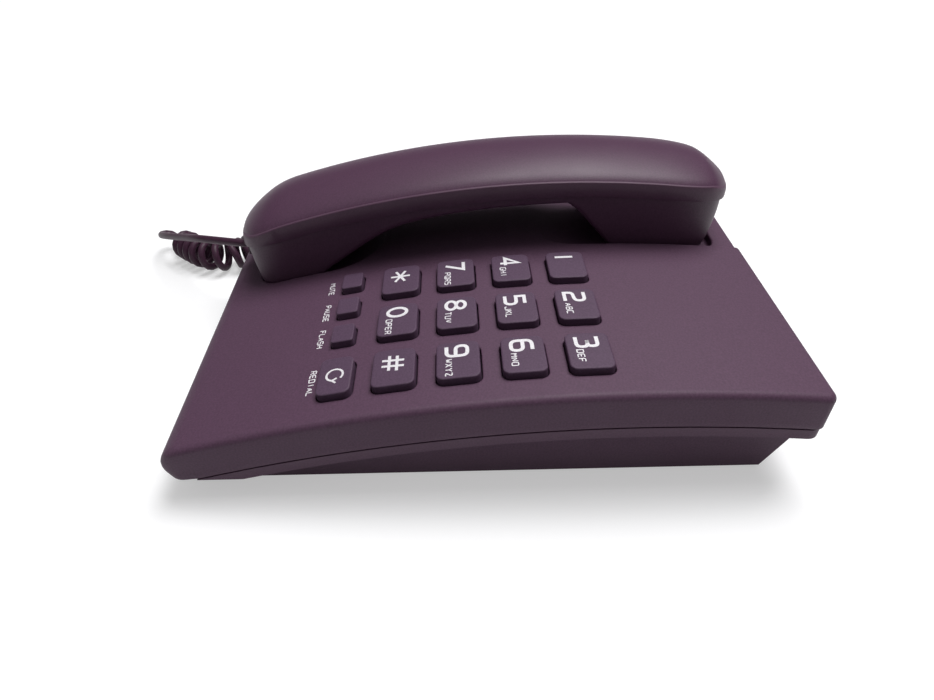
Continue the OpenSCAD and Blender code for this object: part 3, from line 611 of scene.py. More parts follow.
def wellFloor(which):
    well = cradleSize[which]
    side = 1 if well["endY"] > well["roundY"] else -1
    slope = tan(archTilt(well["rampY"]) - side * radians(cradleSize["rampTilt"]))
    start = topZ(well["rampY"], cradleSize["sink"])

    def floorZ(y):
        ramp = start + (y - well["rampY"]) * slope
        sunk = softMax(topZ(y, cradleSize["sink"]), ramp, cradleSize["rampSoft"])
        return min(sunk, topZ(y) - 0.02)
    return floorZ


# where the run-out's two sides fall, the mesh gets points of its own
runOutMarks = [cradleSize["middleX"]
               + side * (cradleSize["halfWidth"] + k * cradleSize["runOut"]["soft"])
               for side in (-1, 1) for k in (-1.2, -0.8, -0.4, 0, 0.4, 0.8, 1.2)]


def surfaceZ(x, y):
    # the arched top, with the shallow run-out behind the ear well
    run = cradleSize["runOut"]
    reach = cradleSize["halfWidth"] - abs(x - cradleSize["middleX"])
    across = smoothStep(0.5 + reach / (2 * run["soft"]))
    along = smoothStep((y - run["fromY"] + run["run"] / 2) / run["run"])
    return topZ(y) - run["sink"] * across * along


def caseWalls(shell, size):
    # the rounded edge and the walls, from the top's border down
    d, er = size["depth"], size["edgeRadius"]
    noseZ, noseOut = zip(*size["nose"])

    def ringAt(inset):
        return roundedRing(size["width"], d, size["cornerRadius"], inset, rearMarks=runOutMarks)

    def lowZ(y):
        return softMax(topZ(y, size["sideDepth"]), size["lipZ"], size["lipSoft"])

    def nosed(x, y, z):
        # the front wall swells out below its edge
        near = smoothStep((-y - d / 2) / size["noseReach"] + 1)
        return (x, y - near * float(np.interp(z, noseZ, noseOut)), z)

    border = ringAt(er + holdWidth)
    rings = [shell.add([(x, y, surfaceZ(x, y)) for x, y in border])]
    for a in quarterTurn(size["edgeSteps"]):
        ring, drop = ringAt(er * (1 - sin(a))), er * (1 - cos(a))
        rings.append(shell.add([nosed(x, y, surfaceZ(x, y) - drop) for x, y in ring]))
    for inset, lift in size["wallRows"]:
        rings.append(shell.add([nosed(x, y, lowZ(y) + lift) for x, y in ringAt(inset)]))
    shell.stack(rings, flip=True)
    return border, rings[0]


def cradleWell(shell, which):
    well = cradleSize[which]
    ring = wellRing(well["roundY"], well["endY"])
    normal = outwardNormals(ring)
    floorZ = wellFloor(which)
    depth = np.array([surfaceZ(x, y) - floorZ(y) for x, y in ring])
    rim = np.minimum(cradleSize["rimRound"], 0.35 * depth)
    foot = np.minimum(cradleSize["floorRound"], 0.45 * depth)

    def offset(amount):
        return [tuple(q) for q in np.array(ring) + normal * amount[:, None]]

    border = offset(rim + holdWidth)
    rings = [shell.add([(x, y, surfaceZ(x, y)) for x, y in border])]
    for a in quarterTurn(4):
        rings.append(shell.add([(x, y, surfaceZ(x, y) - f * (1 - cos(a)))
                                for (x, y), f in zip(offset(rim * (1 - sin(a))), rim)]))
    for a in quarterTurn(5):
        rings.append(shell.add([(x, y, floorZ(y) + f * (1 - sin(a)))
                                for (x, y), f in zip(offset(-foot * (1 - cos(a))), foot)]))
    inner = offset(-foot - holdWidth)
    rings.append(shell.add([(x, y, floorZ(y)) for x, y in inner]))
    shell.stack(rings)
    cuts, ids = [], rings[-1]
    if which == "ear":
        hook = cradleSize["hook"]
        slot = [(cradleSize["middleX"] + x, hook["y"] + y)
                for x, y in roundedRing(hook["width"], hook["depth"], hook["corner"], 0, 2.0, 3)]
        top = shell.add([(x, y, floorZ(y)) for x, y in slot])
        low = shell.add([(x, y, floorZ(y) - hook["slotDepth"]) for x, y in slot])
        shell.strip(top, low)
        cuts, ids = [slot], ids + top
    shell.plate(inner, cuts, cradleSize["floorStep"], lambda x, y: (x, y, floorZ(y)), ids)
    return border, rings[0]


def keyOpening(shell, x0, y0, size):
    w, d, r = size
    gap = keypadSize["gap"]
    rings = []
    for grow, drop in keypadSize["openingRows"]:
        ring = roundedRing(w + 2 * gap + 2 * grow, d + 2 * gap + 2 * grow, r + gap + grow, 0, 3.5, 5)
        rings.append(shell.add([onKeypad(x0 + x, y0 + y, keypadArc(y0 + y) - drop) for x, y in ring]))
    shell.stack(rings)
    return [shell.verts[i][:2] for i in rings[0]], rings[0]


def buildTopCase(size):
    shell = Shell()
    border, ids = caseWalls(shell, size)
    openings = [cradleWell(shell, which) for which in ("ear", "mouth")]
    openings += [keyOpening(shell, *where) for where in keyPlaces.values()]
    holes = [hole for hole, holeIds in openings]
    ids = ids + [i for hole, holeIds in openings for i in holeIds]
    run = cradleSize["runOut"]
    marks = [(x, run["markFrom"] + run["markStep"] * k)
             for x in runOutMarks for k in range(run["markRows"])]
    shell.plate(border, holes, size["gridStep"], lambda x, y: (x, y, surfaceZ(x, y)), ids,
                extra=marks)
    piece = shell.piece("topCase", finish["casePlastic"])
    solid = piece.modifiers.new("skin", "SOLIDIFY")
    solid.thickness = size["skin"] * mm
    solid.offset = -1
    return settle(piece)


topCase = buildTopCase(baseSize)
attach(topCase, "base")
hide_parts("top_case")
print("top case: %d faces" % len(topCase.data.polygons))

# printing: own plain stroke letters and numbers, in a unit box, wide and square with round corners
strokes = {
    "0": "e .5,.5 .5,.5",
    "1": "o .3,0 .3,1",
    "2": "o 0,1 1,1 1,.5 0,.42 0,0s 1,0",
    "3": "o 0,1 .96,1 .96,.53 .35,.53 / o .35,.53 1,.53 1,0 0,0",
    "4": "o .72,0 .72,1s 0,.28s 1,.28",
    "5": "o .95,1 .06,1s .06,.57s 1,.57 1,0 0,0",
    "6": "o .96,1 0,1 0,0 1,0 1,.56 0,.56",
    "7": "o 0,1 1,1s .36,0",
    "8": "e .5,.765 .45,.235 / e .5,.265 .5,.265",
    "9": "o .04,0 1,0 1,1 0,1 0,.44 1,.44",
    "*": "o .5,0 .5,1 / o .03,.25 .97,.75 / o .03,.75 .97,.25",
    "#": "o .3,0 .36,1 / o .68,0 .74,1 / o 0,.33 1,.33 / o .04,.68 1.04,.68",
    "A": "o 0,0 .5,1 1,0 / o .2,.35 .8,.35",
    "B": "o 0,.5 .9,.5 .9,1 0,1 0,0 1,0 1,.5 .8,.5",
    "C": "o 1,1 0,1 0,0 1,0",
    "D": "c 0,0s 1,0 1,1 0,1s",
    "E": "o 1,1 0,1 0,0 1,0 / o 0,.5 .85,.5",
    "F": "o 1,1 0,1 0,0 / o 0,.5 .85,.5",
    "G": "o 1,1 0,1 0,0 1,0 1,.5 .55,.5",
    "H": "o 0,0 0,1 / o 1,0 1,1 / o 0,.5 1,.5",
    "I": "o .5,0 .5,1",
    "J": "o 1,1 1,0 0,0 0,.3",
    "K": "o 0,0 0,1 / o 1,1 0,.45 / o .3,.6 1,0",
    "L": "o 0,1 0,0 1,0",
    "M": "o 0,0 0,1 .5,.4 1,1 1,0",
    "N": "o 0,0 0,1 1,0 1,1",
    "O": "c 0,0 1,0 1,1 0,1",
    "P": "o 0,0 0,1 1,1 1,.45 0,.45",
    "Q": "c 0,0 1,0 1,1 0,1 / o .6,.3 1.05,-.1",
    "R": "o 0,0 0,1 1,1 1,.48 0,.48 / o .5,.48 1,0",
    "S": "o 1,1 0,1 0,.52 1,.52 1,0 0,0",
    "T": "o 0,1 1,1 / o .5,1 .5,0",
    "U": "o 0,1 0,0 1,0 1,1",
    "V": "o 0,1 .5,0 1,1",
    "W": "o 0,1 .25,0 .5,.7 .75,0 1,1",
    "X": "o 0,0 1,1 / o 0,1 1,0",
    "Y": "o 0,1 .5,.5 1,1 / o .5,.5 .5,0",
    "Z": "o 0,1 1,1 0,0 1,0",
}


inkLift, inkSink = 0.03, 0.15


def roundCorners(points, closed, radius, sharp, arc=5):
    pts = [np.array(p, float) for p in points]
    out = []
    n = len(pts)
    for i, p in enumerate(pts):
        reach = 0
        if i not in sharp and (closed or 0 < i < n - 1):
            a, b = pts[i - 1] - p, pts[(i + 1) % n] - p
            la, lb = np.linalg.norm(a), np.linalg.norm(b)
            a, b = a / la, b / lb
            angle = acos(max(-1, min(1, float(a @ b))))
            if angle < 3.1:
                reach = min(radius / tan(angle / 2), 0.48 * la, 0.48 * lb)
        if reach < 1e-6:
            out.append(p)
            continue
        start, end = p + a * reach, p + b * reach
        for k in range(arc + 1):
            t = k / arc
            out.append((1 - t) ** 2 * start + 2 * t * (1 - t) * p + t * t * end)
    return out


def strokeInto(shell, points, closed, width, place, kind):
    # a printed stroke with a little thickness, set on the surface that place() gives
    p = np.array(points)
    after = np.roll(p, -1, axis=0) - p
    before = np.roll(after, 1, axis=0)
    if not closed:
        after[-1], before[0] = before[-1], after[0]
    after, before = (d / np.linalg.norm(d, axis=1)[:, None] for d in (after, before))
    t = (after + before) / np.linalg.norm(after + before, axis=1)[:, None]
    reach = 1 / np.maximum(0.45, np.sum(t * after, axis=1))  # mitred corners
    normal = np.stack([-t[:, 1], t[:, 0]], axis=1) * reach[:, None]
    sides = []
    for s, z in ((1, inkLift), (-1, inkLift), (-1, -inkSink), (1, -inkSink)):
        sides.append(shell.add([place(x, y, z) for x, y in p + normal * s * width / 2]))
    for k in range(4):
        shell.strip(sides[k], sides[(k + 1) % 4], True, kind, closed)
    if not closed:
        shell.face([s[0] for s in sides], True, kind)
        shell.face([s[-1] for s in sides], False, kind)


def printText(shell, text, at, style, place, kind=1):
    # strokes are open (o), closed (c) or an ellipse (e), and an s marks a sharp corner
    x, y = at
    for letter in text:
        for stroke in strokes[letter].split(" / "):
            shape, words = stroke[0], stroke[2:].split()
            sharp = [i for i, q in enumerate(words) if q.endswith("s")]
            pts = [tuple(float(v) for v in q.rstrip("s").split(",")) for q in words]
            if shape == "e":
                (mu, mv), (ru, rv) = pts
                turns = [pi * k / 18 for k in range(36)]
                pts = [(mu + ru * cos(a), mv + rv * sin(a)) for a in turns]
            pts = [(x + u * style["width"], y + v * style["height"]) for u, v in pts]
            if shape != "e":
                pts = roundCorners(pts, shape == "c", style["corner"] * style["width"], sharp)
            strokeInto(shell, pts, shape != "o", style["weight"], place, kind)
        x += style["width"] + style["gap"]


keyPrint = {
    "number": {"height": 6.5, "width": 4.7, "gap": 0, "weight": 1.2, "corner": 0.42,
               "at": (-6.3, -3.5)},
    "sign": {"height": 7.0, "width": 6.9, "gap": 0, "weight": 0.95, "corner": 0.42,
             "at": (-5.2, -3.7)},
    "letter": {"height": 1.95, "width": 1.38, "gap": 0.68, "weight": 0.36, "corner": 0.3,
               "at": (-0.2, -3.8)},
    "lettersOf": {"2": "ABC", "3": "DEF", "4": "GHI", "5": "JKL", "6": "MNO", "7": "PQRS", "8": "TUV",
                  "9": "WXYZ", "0": "OPER"},
    "arrow": {"radius": 2.6, "sweep": (50, 351, 12), "weight": 0.7, "headWeight": 0.65,
              "head": [(1.6, 0.9), (2.55, -0.6), (3.7, 0.7)]},
}


def buildKey(node, x0, y0, size):
    shell = Shell()
    top, drop, flange = (keypadSize[k] for k in ("topRound", "flangeDrop", "flange"))

    def ringAt(inset):
        return roundedRing(*size, inset, 3.0, 6)

    def place(x, y, lift=0.0):
        return onKeypad(x0 + x, y0 + y, keypadArc(y0 + y, keypadSize["rise"]) + lift)

    rings = [shell.add([onKeypad(x0 + x, y0 + y, z) for x, y in ringAt(-grow)])
             for grow, z in ((flange, -drop - flange), (flange, -drop), (0.0, -drop))]
    for a in quarterTurn(6):
        lift = -top * (1 - sin(a))
        rings.append(shell.add([place(x, y, lift) for x, y in ringAt(top * (1 - cos(a)))]))
    last = ringAt(top + holdWidth)
    rings.append(shell.add([place(x, y) for x, y in last]))
    shell.stack(rings)
    shell.plate(last, [], keypadSize["topStep"], place, rings[-1])
    shell.face(rings[0], True)
    label = {"star": "*", "hash": "#"}.get(node[4:], node[4:])
    if len(label) == 1:
        style, small = keyPrint["sign" if label in "*#" else "number"], keyPrint["letter"]
        printText(shell, label, style["at"], style, place)
        printText(shell, keyPrint["lettersOf"].get(label, ""), small["at"], small, place)
    elif label == "redial":
        arrow = keyPrint["arrow"]
        arc = [onArc(0, 0, arrow["radius"], a) for a in range(*arrow["sweep"])]
        strokeInto(shell, arc, False, arrow["weight"], place, 1)
        strokeInto(shell, arrow["head"], False, arrow["headWeight"], place, 1)
    name = "key" + node[4:].capitalize()
    piece = shell.piece(name, finish["keyPlastic"], finish["whitePrint"], crease=50)
    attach(piece, node + "_body")
    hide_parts(node)


for node, where in keyPlaces.items():
    buildKey(node, *where)
print("keys:", len(keyPlaces))

# words on the case in front of the function keys
casePrint = {
    "words": (("MUTE", -1.2), ("PAUSE", 14.0), ("FLASH", 28.8), ("REDIAL", 50.8)),
    "y": -58.2,
    "height": 1.85,
    "width": 1.35,
    "gap": 0.62,
    "weight": 0.36,
    "corner": 0.3,
}


def buildCasePrint(size):
    shell = Shell()
    for word, middle in size["words"]:
        span = len(word) * size["width"] + (len(word) - 1) * size["gap"]
        printText(shell, word, (middle - span / 2, size["y"]), size,
                  lambda x, y, lift: (x, y, topZ(y) + lift), 0)
    piece = shell.piece("functionWords", finish["whitePrint"], crease=50)
    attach(piece, "base")


buildCasePrint(casePrint)

# handset
handsetSize = {
    "middleX": -36.0,
    "halfWidth": 21.7,
    "backRadius": 370.0,
    "backY": 33.0,
    "ridgeZ": 67.0,
    "domeRise": 4.6,
    "domeStep": 0.8,
    "domeFlat": 14,
    "ledge": 1.0,
    "band": 6.0,
    "seamGap": 0.3,
    "lip": 0.35,
    "edge": {"round": 0.6, "growth": 1.2, "fromY": 82, "run": 12},
    "ends": {
        "rear": {"length": 93.8, "taper": 29.8, "power": 3.1, "domeRun": 30.1, "domePower": 2.25,
                 "dropRun": 10.3},
        "front": {"length": 95.0, "taper": 19.8, "power": 2.8, "domeRun": 13.7, "domePower": 1.72,
                  "dropRun": 19.6},
    },
    "endDrop": 2.2,
    "endGap": 0.02,
    "frontStep": 1.0,
    "frontHalfWidth": 20.3,
    "cupSink": 4.7,
    "lowerRound": 3.0,
    "gripLine": [(-60, -36.5), (-40, -22.5), (-24, -16), (0, -11.5), (27, -9.4), (33, -11),
                 (46.5, -25.5)],
    "gripRun": 8,
    "gripSoft": 3.0,
    "gripFall": {"front": 1.25, "rear": 1.4},
    "toe": {"y": -86.2, "z": 18, "run": 8, "rise": 24, "soft": 5.0},
    "heel": {"y": 86, "z": 35, "run": 6, "rise": 17, "soft": 6.0},
    "backSteps": (3.0, 16.0),
    "frontSteps": (1.6, 14.0),
}
backZ = handsetSize["ridgeZ"] - handsetSize["backRadius"]
domeHalf = handsetSize["halfWidth"] - handsetSize["ledge"]
domeRadius = (domeHalf ** 2 + handsetSize["domeRise"] ** 2) / (2 * handsetSize["domeRise"])


def ridgeZ(y, lift=0.0):
    return backZ + sqrt((handsetSize["backRadius"] + lift) ** 2 - (y - handsetSize["backY"]) ** 2)


def endShape(y):
    return handsetSize["ends"]["rear" if y > 0 else "front"]


def taper(y, length, run, power):
    over = max(0.0, abs(y) - (length - run)) / run
    return max(0.0, 1 - over ** power) ** (1 / power)


def stations(y0, y1, step, dense):
    # even steps in the middle and closer ones at the rounded ends
    n = max(4, round((y1 - y0 - 2 * dense) / step))
    ys = [y0 + dense + (y1 - y0 - 2 * dense) * k / n for k in range(n + 1)]
    ends = [dense * (1 - cos(a)) for a in quarterTurn(14)[:-1]]
    return [y0 + e for e in ends] + ys + [y1 - e for e in ends[::-1]]


def loftPiece(name, sections, material, crease):
    shell = Shell()
    shell.block([shell.add(section) for section in sections], flip=True)
    return shell.piece(name, material, crease=crease)


def mirrored(right, y):
    # a closed section from its right half, whose last point is in the middle
    profile = right + [(-x, z) for x, z in right[-2::-1]]
    return [(handsetSize["middleX"] + x, y, z) for x, z in profile]


def backSection(y):
    s, end = handsetSize, endShape(y)
    half = s["halfWidth"] * taper(y, end["length"], end["taper"], end["power"])
    seam = ridgeZ(y, -s["band"])
    ledgeZ = ridgeZ(y) - s["endDrop"] * smoothStep((abs(y) - end["length"]) / end["dropRun"] + 1)
    soft, lip = s["edge"], s["lip"]
    edge = soft["round"] + soft["growth"] * smoothStep((abs(y) - soft["fromY"]) / soft["run"])
    edge = min(edge, half * 0.4)
    right = [(half - lip, seam), (half - 0.25 * lip, seam + 0.3 * lip), (half, seam + lip)]
    right += [(half - edge * (1 - cos(a)), ledgeZ - edge * (1 - sin(a)))
              for a in quarterTurn(5)[1:]]
    inner = half - edge - 0.4 * min(1.0, half / 8)
    fall = taper(y, end["length"], end["domeRun"], end["domePower"])
    for a in quarterTurn(16):
        u = cos(a)
        lift = sqrt(domeRadius ** 2 - (u * domeHalf) ** 2) - domeRadius + s["domeRise"]
        lift += s["domeStep"] * (1 - u ** s["domeFlat"])
        right.append((inner * u, ledgeZ + lift * fall))
    return mirrored(right, y)


def handsetEnds(inset):
    ends, inset = handsetSize["ends"], inset + handsetSize["endGap"]
    return inset - ends["front"]["length"], ends["rear"]["length"] - inset


backStations = stations(*handsetEnds(0), *handsetSize["backSteps"])
handsetBack = loftPiece("handsetBack", [backSection(y) for y in backStations],
                        finish["handsetPlastic"], crease=28)
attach(handsetBack, "handset")
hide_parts("handset_back")

gripLine = [(y, z + handsetSize["ridgeZ"]) for y, z in handsetSize["gripLine"]]
gripCurve = throughPoints(gripLine, 12)


def underZ(y):
    s = handsetSize
    (frontY, frontZ), (rearY, rearZ) = gripCurve[0], gripCurve[-1]
    grip = -1e3
    if frontY <= y <= rearY:
        grip = float(np.interp(y, gripCurve[:, 0], gripCurve[:, 1]))
    elif frontY - s["gripRun"] <= y < frontY:
        grip = frontZ - (frontY - y) * s["gripFall"]["front"]
    elif rearY < y <= rearY + s["gripRun"]:
        grip = rearZ - (y - rearY) * s["gripFall"]["rear"]
    toe, heel = s["toe"], s["heel"]
    toeZ = toe["z"] + (toe["y"] - y) / toe["run"] * toe["rise"]
    heelZ = heel["z"] + (y - heel["y"]) / heel["run"] * heel["rise"]
    under = softMax(topZ(y, s["cupSink"]), grip, s["gripSoft"])
    return softMax(softMax(under, toeZ, toe["soft"]), heelZ, heel["soft"])


def frontSection(y):
    s, end = handsetSize, endShape(y)
    half = s["frontHalfWidth"] * taper(y, end["length"] - s["frontStep"], end["taper"], end["power"])
    seam = ridgeZ(y, -s["band"] - s["seamGap"])
    under = min(underZ(y), seam - 0.05)
    tall = seam - under
    low = min(s["lowerRound"], 0.45 * tall, half * 0.45)
    lip = min(0.3, 0.2 * tall)
    right = [((half - low) * k / 10, under) for k in range(10)]
    right += [(half - low * (1 - sin(a)), under + low * (1 - cos(a)))
              for a in quarterTurn(6)]
    right += [(half, under + low + (tall - low - lip) * k / 5) for k in range(1, 6)]
    right += [(half - lip, seam), (half * 0.5, seam), (0, seam)]
    return mirrored(right, y)[:-1]


frontStations = stations(*handsetEnds(handsetSize["frontStep"]), *handsetSize["frontSteps"])
handsetFront = loftPiece("handsetFront", [frontSection(y) for y in frontStations],
                         finish["handsetPlastic"], crease=35)
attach(handsetFront, "handset")
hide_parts("handset_front")
print("handset: %d and %d faces" % (len(handsetBack.data.polygons), len(handsetFront.data.polygons)))


# details that repeat: one stamp, set on a list of points
def stampTree():
    tree, enter, leave = newGroup("stampOnPoints", "GeometryNodeTree", [
        ("Places", "Geometry"), ("Stamp", "Object"), ("Finish", "Material")],
        [("Pieces", "Geometry")])
    stamp = addNode(tree, "GeometryNodeObjectInfo", {"Object": enter["Stamp"]})
    turn = addNode(tree, "GeometryNodeInputNamedAttribute", {"Name": "turn"},
                   data_type="FLOAT_VECTOR")
    angle = addNode(tree, "FunctionNodeEulerToRotation", {"Euler": turn})
    placed = addNode(tree, "GeometryNodeInstanceOnPoints", {
        "Points": enter["Places"], "Instance": stamp.outputs["Geometry"], "Rotation": angle})
    return endTree(tree, placed, enter["Finish"], leave["Pieces"])


stampOnPoints = stampTree()


def stampPieces(name, stamp, places, material):
    # a place is a point and, where it has a fourth value, a turn about X
    mesh = bpy.data.meshes.new(name)
    mesh.from_pydata([tuple(c * mm for c in place[:3]) for place in places], [], [])
    turns = mesh.attributes.new("turn", "FLOAT_VECTOR", "POINT")
    for row, place in zip(turns.data, places):
        row.vector = (place[3] if len(place) > 3 else 0.0, 0.0, 0.0)
    piece = growWith(linkObject(name, mesh), stampOnPoints, {"Stamp": stamp, "Finish": material})
    discard(stamp)
    return piece


def turnedStamp(name, profile, material, sides=24, recess=None):
    # a turned form from the low middle to the high middle, with a cross recess if one is given
    shell = Shell()
    rings = [shell.add([(x, y, z) for x, y in circle(r, sides)]) for r, z in profile]
    shell.stack(rings)
    if recess:
        arm, half, deep = recess
        wide, low = profile[0]
        cross = [(arm, -half), (arm, half), (half, half)]
        for k in range(9):
            cross.append((-cross[k][1], cross[k][0]))
        rim = shell.add([(x, y, low) for x, y in cross])
        foot = shell.add([(x * 0.8, y * 0.8, low + deep) for x, y in cross])
        shell.strip(rim, foot, True)
        shell.plate(circle(wide, sides), [cross], 1.0, lambda x, y: (x, y, low), rings[0] + rim, True)
        shell.face(foot, True)
    else:
        shell.face(rings[0], True)
    shell.face(rings[-1])
    return shell.piece(name, material, crease=35)


def screwStamp(head, headHeight, shank, length):
    end = headHeight + length
    profile = [(head * 0.78, 0.0), (head * 0.93, 0.12), (head, 0.45), (head, headHeight),
               (shank, headHeight), (shank, end - 1), (shank * 0.5, end)]
    cross = (head * 0.55, head * 0.14, 0.9)
    return turnedStamp("screwStamp", profile, finish["platedSteel"], 24, cross)


detailSize = {
    "feet": [(x, y, 0.0) for x in (-50, 50) for y in (-76, 78)],
    "foot": [(3.6, 0.35), (3.9, 0.0), (5.3, 0.0), (5.75, 0.2), (6.0, 0.65), (6.0, 2.0)],
    "caseScrews": [(x, y, 2.0) for x in (-52, 52) for y in (-63, 50)],
    "caseScrew": {"head": 3.0, "headHeight": 2.2, "shank": 1.5, "length": 12.0},
    "handsetScrew": {"head": 2.5, "headHeight": 1.4, "shank": 1.3, "length": 8.0},
    "handsetScrewY": (-58.0, 30.0),
    "handsetScrewDepth": 9.7,
    "bore": [(2.7, -40.0), (2.7, 1.4)],
    "holePitch": 4.5,
    "holeRings": ((68.5, 2), (-72.5, 1)),
    "hole": [(1.25, -1.0), (1.25, 0.0), (1.0, 0.3), (1.0, 2.2)],
    "contacts": [(18 + 1.27 * k, 91.0, 11.6) for k in (-1.5, -0.5, 0.5, 1.5)],
    "contact": [(0, 0), (-2.5, -0.3), (-6.5, -2.6), (-7.4, -2.7), (-7.9, -2.2)],
    "contactEdges": ((-0.2, -0.2), (0.2, -0.2), (0.2, 0.2), (-0.2, 0.2)),
}


def onHandsetBack(y, depth):
    tilt = asin((handsetSize["backY"] - y) / handsetSize["backRadius"])
    r = handsetSize["backRadius"] - depth
    return (handsetSize["middleX"], handsetSize["backY"] - r * sin(tilt),
            backZ + r * cos(tilt), tilt)


def soundHolePlaces(middleY, rings, pitch):
    # a hexagon of holes on the cup's underside
    places = []
    for q in range(-rings, rings + 1):
        for r in range(-rings, rings + 1):
            if abs(q + r) <= rings:
                y = middleY + pitch * r * sqrt(3) / 2
                places.append((handsetSize["middleX"] + pitch * (q + r / 2), y, underZ(y)))
    return places


def carve(piece, cutter):
    modifier = piece.modifiers.new("carve", "BOOLEAN")
    modifier.operation = "DIFFERENCE"
    modifier.solver = "EXACT"
    modifier.object = cutter
    settle(piece)
    discard(cutter)
    piece.data.set_sharp_from_angle(angle=radians(35))


plastic, rubber, steel, gold = (
    finish[k] for k in ("handsetPlastic", "softRubber", "platedSteel", "goldContact"))
holePlaces = []
for y, rings in detailSize["holeRings"]:
    holePlaces += soundHolePlaces(y, rings, detailSize["holePitch"])
holeStamp = turnedStamp("holeStamp", detailSize["hole"], plastic, 14)
carve(handsetFront, stampPieces("soundHoles", holeStamp, holePlaces, plastic))
screwPlaces = [onHandsetBack(y, detailSize["handsetScrewDepth"]) for y in detailSize["handsetScrewY"]]
boreStamp = turnedStamp("boreStamp", detailSize["bore"], plastic)
carve(handsetFront, stampPieces("screwBores", boreStamp, screwPlaces, plastic))

footStamp = turnedStamp("footStamp", detailSize["foot"], rubber, 32)
feet = stampPieces("feet", footStamp, detailSize["feet"], rubber)
caseScrews = stampPieces("caseScrews", screwStamp(**detailSize["caseScrew"]),
                         detailSize["caseScrews"], steel)
handsetScrews = stampPieces("handsetScrews", screwStamp(**detailSize["handsetScrew"]),
                            screwPlaces, steel)

# the hook button: a rounded block on its flange, with the stem that meets the switch
hookSize = {
    "clear": 0.4,
    "corner": 0.9,
    "edge": 0.9,
    "sink": 0.1,
    "reach": 8.1,
    "flange": 1.5,
    "flangeHeight": 1.2,
    "stem": 2.0,
}


def buildHook(size):
    slot = cradleSize["hook"]
    x0, y0, edge = cradleSize["middleX"], slot["y"], size["edge"]
    high = topZ(y0, cradleSize["sink"]) - size["sink"]
    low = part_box("hook_plunger")[0][2] / mm
    flange = high - size["reach"]
    under = flange - size["flangeHeight"]
    shell = Shell()

    def slab(grow, inset):
        w, d = (slot[k] - 2 * size["clear"] + 2 * grow for k in ("width", "depth"))
        return roundedRing(w, d, size["corner"], inset, 2.0, 5)

    button = [(slab(0, 0), flange)]
    for a in quarterTurn(5):
        button.append((slab(0, edge * (1 - cos(a))), high - edge * (1 - sin(a))))
    plate, stem = slab(size["flange"], 0), circle(size["stem"], 20)
    for rows in (button, [(plate, under), (plate, flange)], [(stem, low), (stem, under)]):
        shell.block([shell.add([(x0 + x, y0 + y, z) for x, y in ring]) for ring, z in rows])
    return shell.piece("hookButton", finish["casePlastic"], crease=40)


hookButton = buildHook(hookSize)
contactRings = [[(dx, y, z + dz) for dx, dz in detailSize["contactEdges"]]
                for y, z in detailSize["contact"]]
contactStamp = loftPiece("contactStamp", contactRings, gold, crease=40)
contacts = stampPieces("lineContacts", contactStamp, detailSize["contacts"], gold)
for piece, body, node, slot in (
        (feet, "base", "rubber_feet", "soft_rubber"), (caseScrews, "base", "case_screws", "steel"),
        (handsetScrews, "handset", "handset_screws", "steel"), (contacts, "base", None, "steel"),
        (hookButton, "hook", "hook_plunger", "case_plastic")):
    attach(piece, body)
    if node:
        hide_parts(node)
print("details:", len(holePlaces), "sound holes,",
      len(handsetFront.data.polygons), "handset front faces")

# the other CAD nodes keep their solids and take a finish
nodeFinishes = {
    "casePlastic": ["bottom_case"],
    "softRubber": ["keypad_mat", "receiver_ring", "microphone_boot"],
    "platedSteel": ["base_weight", "board_screws", "hook_spring", "handset_weight",
                    "receiver_capsule", "microphone"],
    "boardGreen": ["main_board"],
    "switchPlastic": ["hook_switch", "ringer", "ringer_switch", "dial_mode_switch"],
    "sliderPlastic": ["ringer_slider", "dial_mode_slider"],
    "smokePlastic": ["base_jack", "line_jack", "handset_jack", "base_plug", "handset_plug"],
}
for name, nodes in nodeFinishes.items():
    for node in nodes:
        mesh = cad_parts[node].data
        mesh.materials.clear()
        mesh.materials.append(finish[name])
print("CAD nodes finished:", sum(len(n) for n in nodeFinishes.values()))

# floor, world and lamp
studio = {
    "floorSpan": 6.0,
    "floorColor": (0.62, 0.62, 0.63),
    "floorGlow": 0.44,
    "floorFade": (0.5, 2.2),
    "skyLow": 0.05,
    "skyHigh": 0.45,
    "skyFrom": 0.4,
    "lamp": {"place": (-0.34, 0.32, 1.38), "aim": (0, 0, 0), "size": 0.85, "power": 22.0},
}


def anyRay(tree, kinds):
    path = addNode(tree, "ShaderNodeLightPath").outputs
    seen = path["Is Camera Ray"]
    for kind in kinds:
        seen = mathNode(tree, "MAXIMUM", seen, path["Is %s Ray" % kind])
    return seen


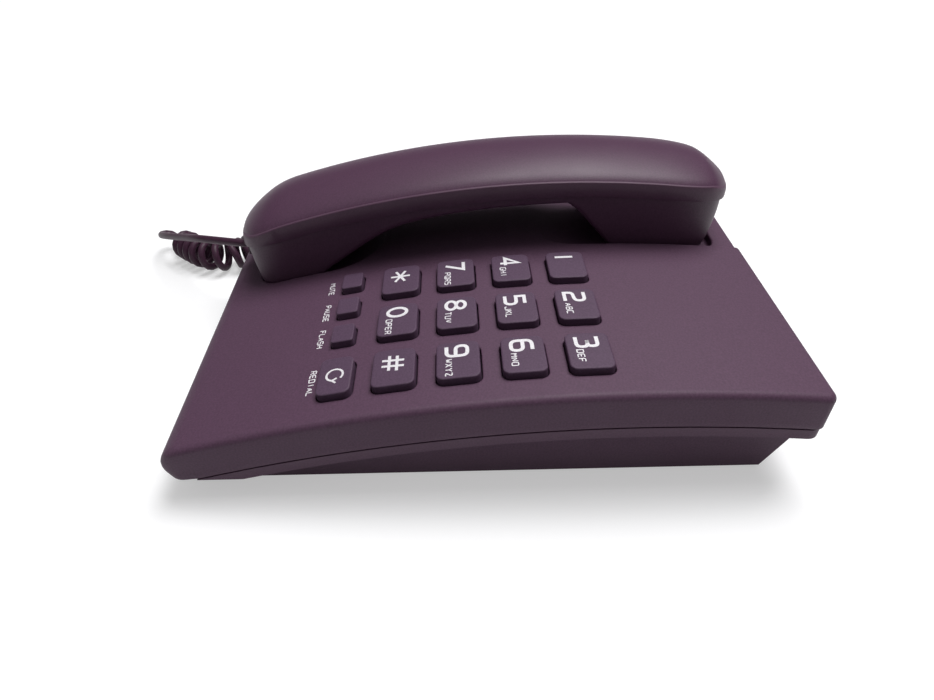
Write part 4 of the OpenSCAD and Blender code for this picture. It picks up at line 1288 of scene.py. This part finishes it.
def buildFloor(setup):
    span = setup["floorSpan"]
    mesh = bpy.data.meshes.new("floor")
    mesh.from_pydata([(-span, -span, 0), (span, -span, 0), (span, span, 0), (-span, span, 0)], [],
                     [(0, 1, 2, 3)])
    material = bpy.data.materials.new("paleFloor")
    material.use_nodes = True
    tree = material.node_tree
    tree.nodes.clear()
    paper = addNode(tree, "ShaderNodeBsdfDiffuse", {"Color": (*setup["floorColor"], 1)})
    # the paper turns white away from the object, where the lamp fades
    spot = addNode(tree, "ShaderNodeTexCoord")
    away = addNode(tree, "ShaderNodeVectorMath", {0: spot.outputs["Object"]}, operation="LENGTH")
    pale = rangeNode(tree, away.outputs["Value"], *setup["floorFade"], setup["floorGlow"], 1.0)
    strength = mathNode(tree, "MULTIPLY", anyRay(tree, ("Glossy", "Transmission")), pale)
    glow = addNode(tree, "ShaderNodeEmission", {"Strength": strength})
    both = addNode(tree, "ShaderNodeAddShader", {0: paper, 1: glow})
    addNode(tree, "ShaderNodeOutputMaterial", {"Surface": both})
    mesh.materials.append(material)
    floor = linkObject("floor", mesh)


def buildWorld(setup):
    world = bpy.data.worlds.new("studio")
    bpy.context.scene.world = world
    world.use_nodes = True
    tree = world.node_tree
    tree.nodes.clear()
    # dim at the horizon and brighter overhead
    place = addNode(tree, "ShaderNodeTexCoord")
    parts = addNode(tree, "ShaderNodeSeparateXYZ", {"Vector": place})
    sky = rangeNode(tree, parts.outputs["Z"], setup["skyFrom"], 1.0,
                    setup["skyLow"], setup["skyHigh"])
    shown = mathNode(tree, "MAXIMUM", sky, anyRay(tree, ("Transmission",)))
    back = addNode(tree, "ShaderNodeBackground", {"Color": (1, 1, 1, 1), "Strength": shown})
    addNode(tree, "ShaderNodeOutputWorld", {"Surface": back})


def addLamp(setup):
    data = bpy.data.lights.new("topBox", "AREA")
    data.shape = "SQUARE"
    data.size = setup["size"]
    data.energy = setup["power"]
    place = Vector(setup["place"])
    turn = (Vector(setup["aim"]) - place).to_track_quat("-Z", "Y").to_matrix().to_4x4()
    linkObject("topBox", data).matrix_world = Matrix.Translation(place) @ turn


buildFloor(studio)
buildWorld(studio)
addLamp(studio["lamp"])
bpy.context.scene.view_settings.view_transform = "Standard"
print("studio set")
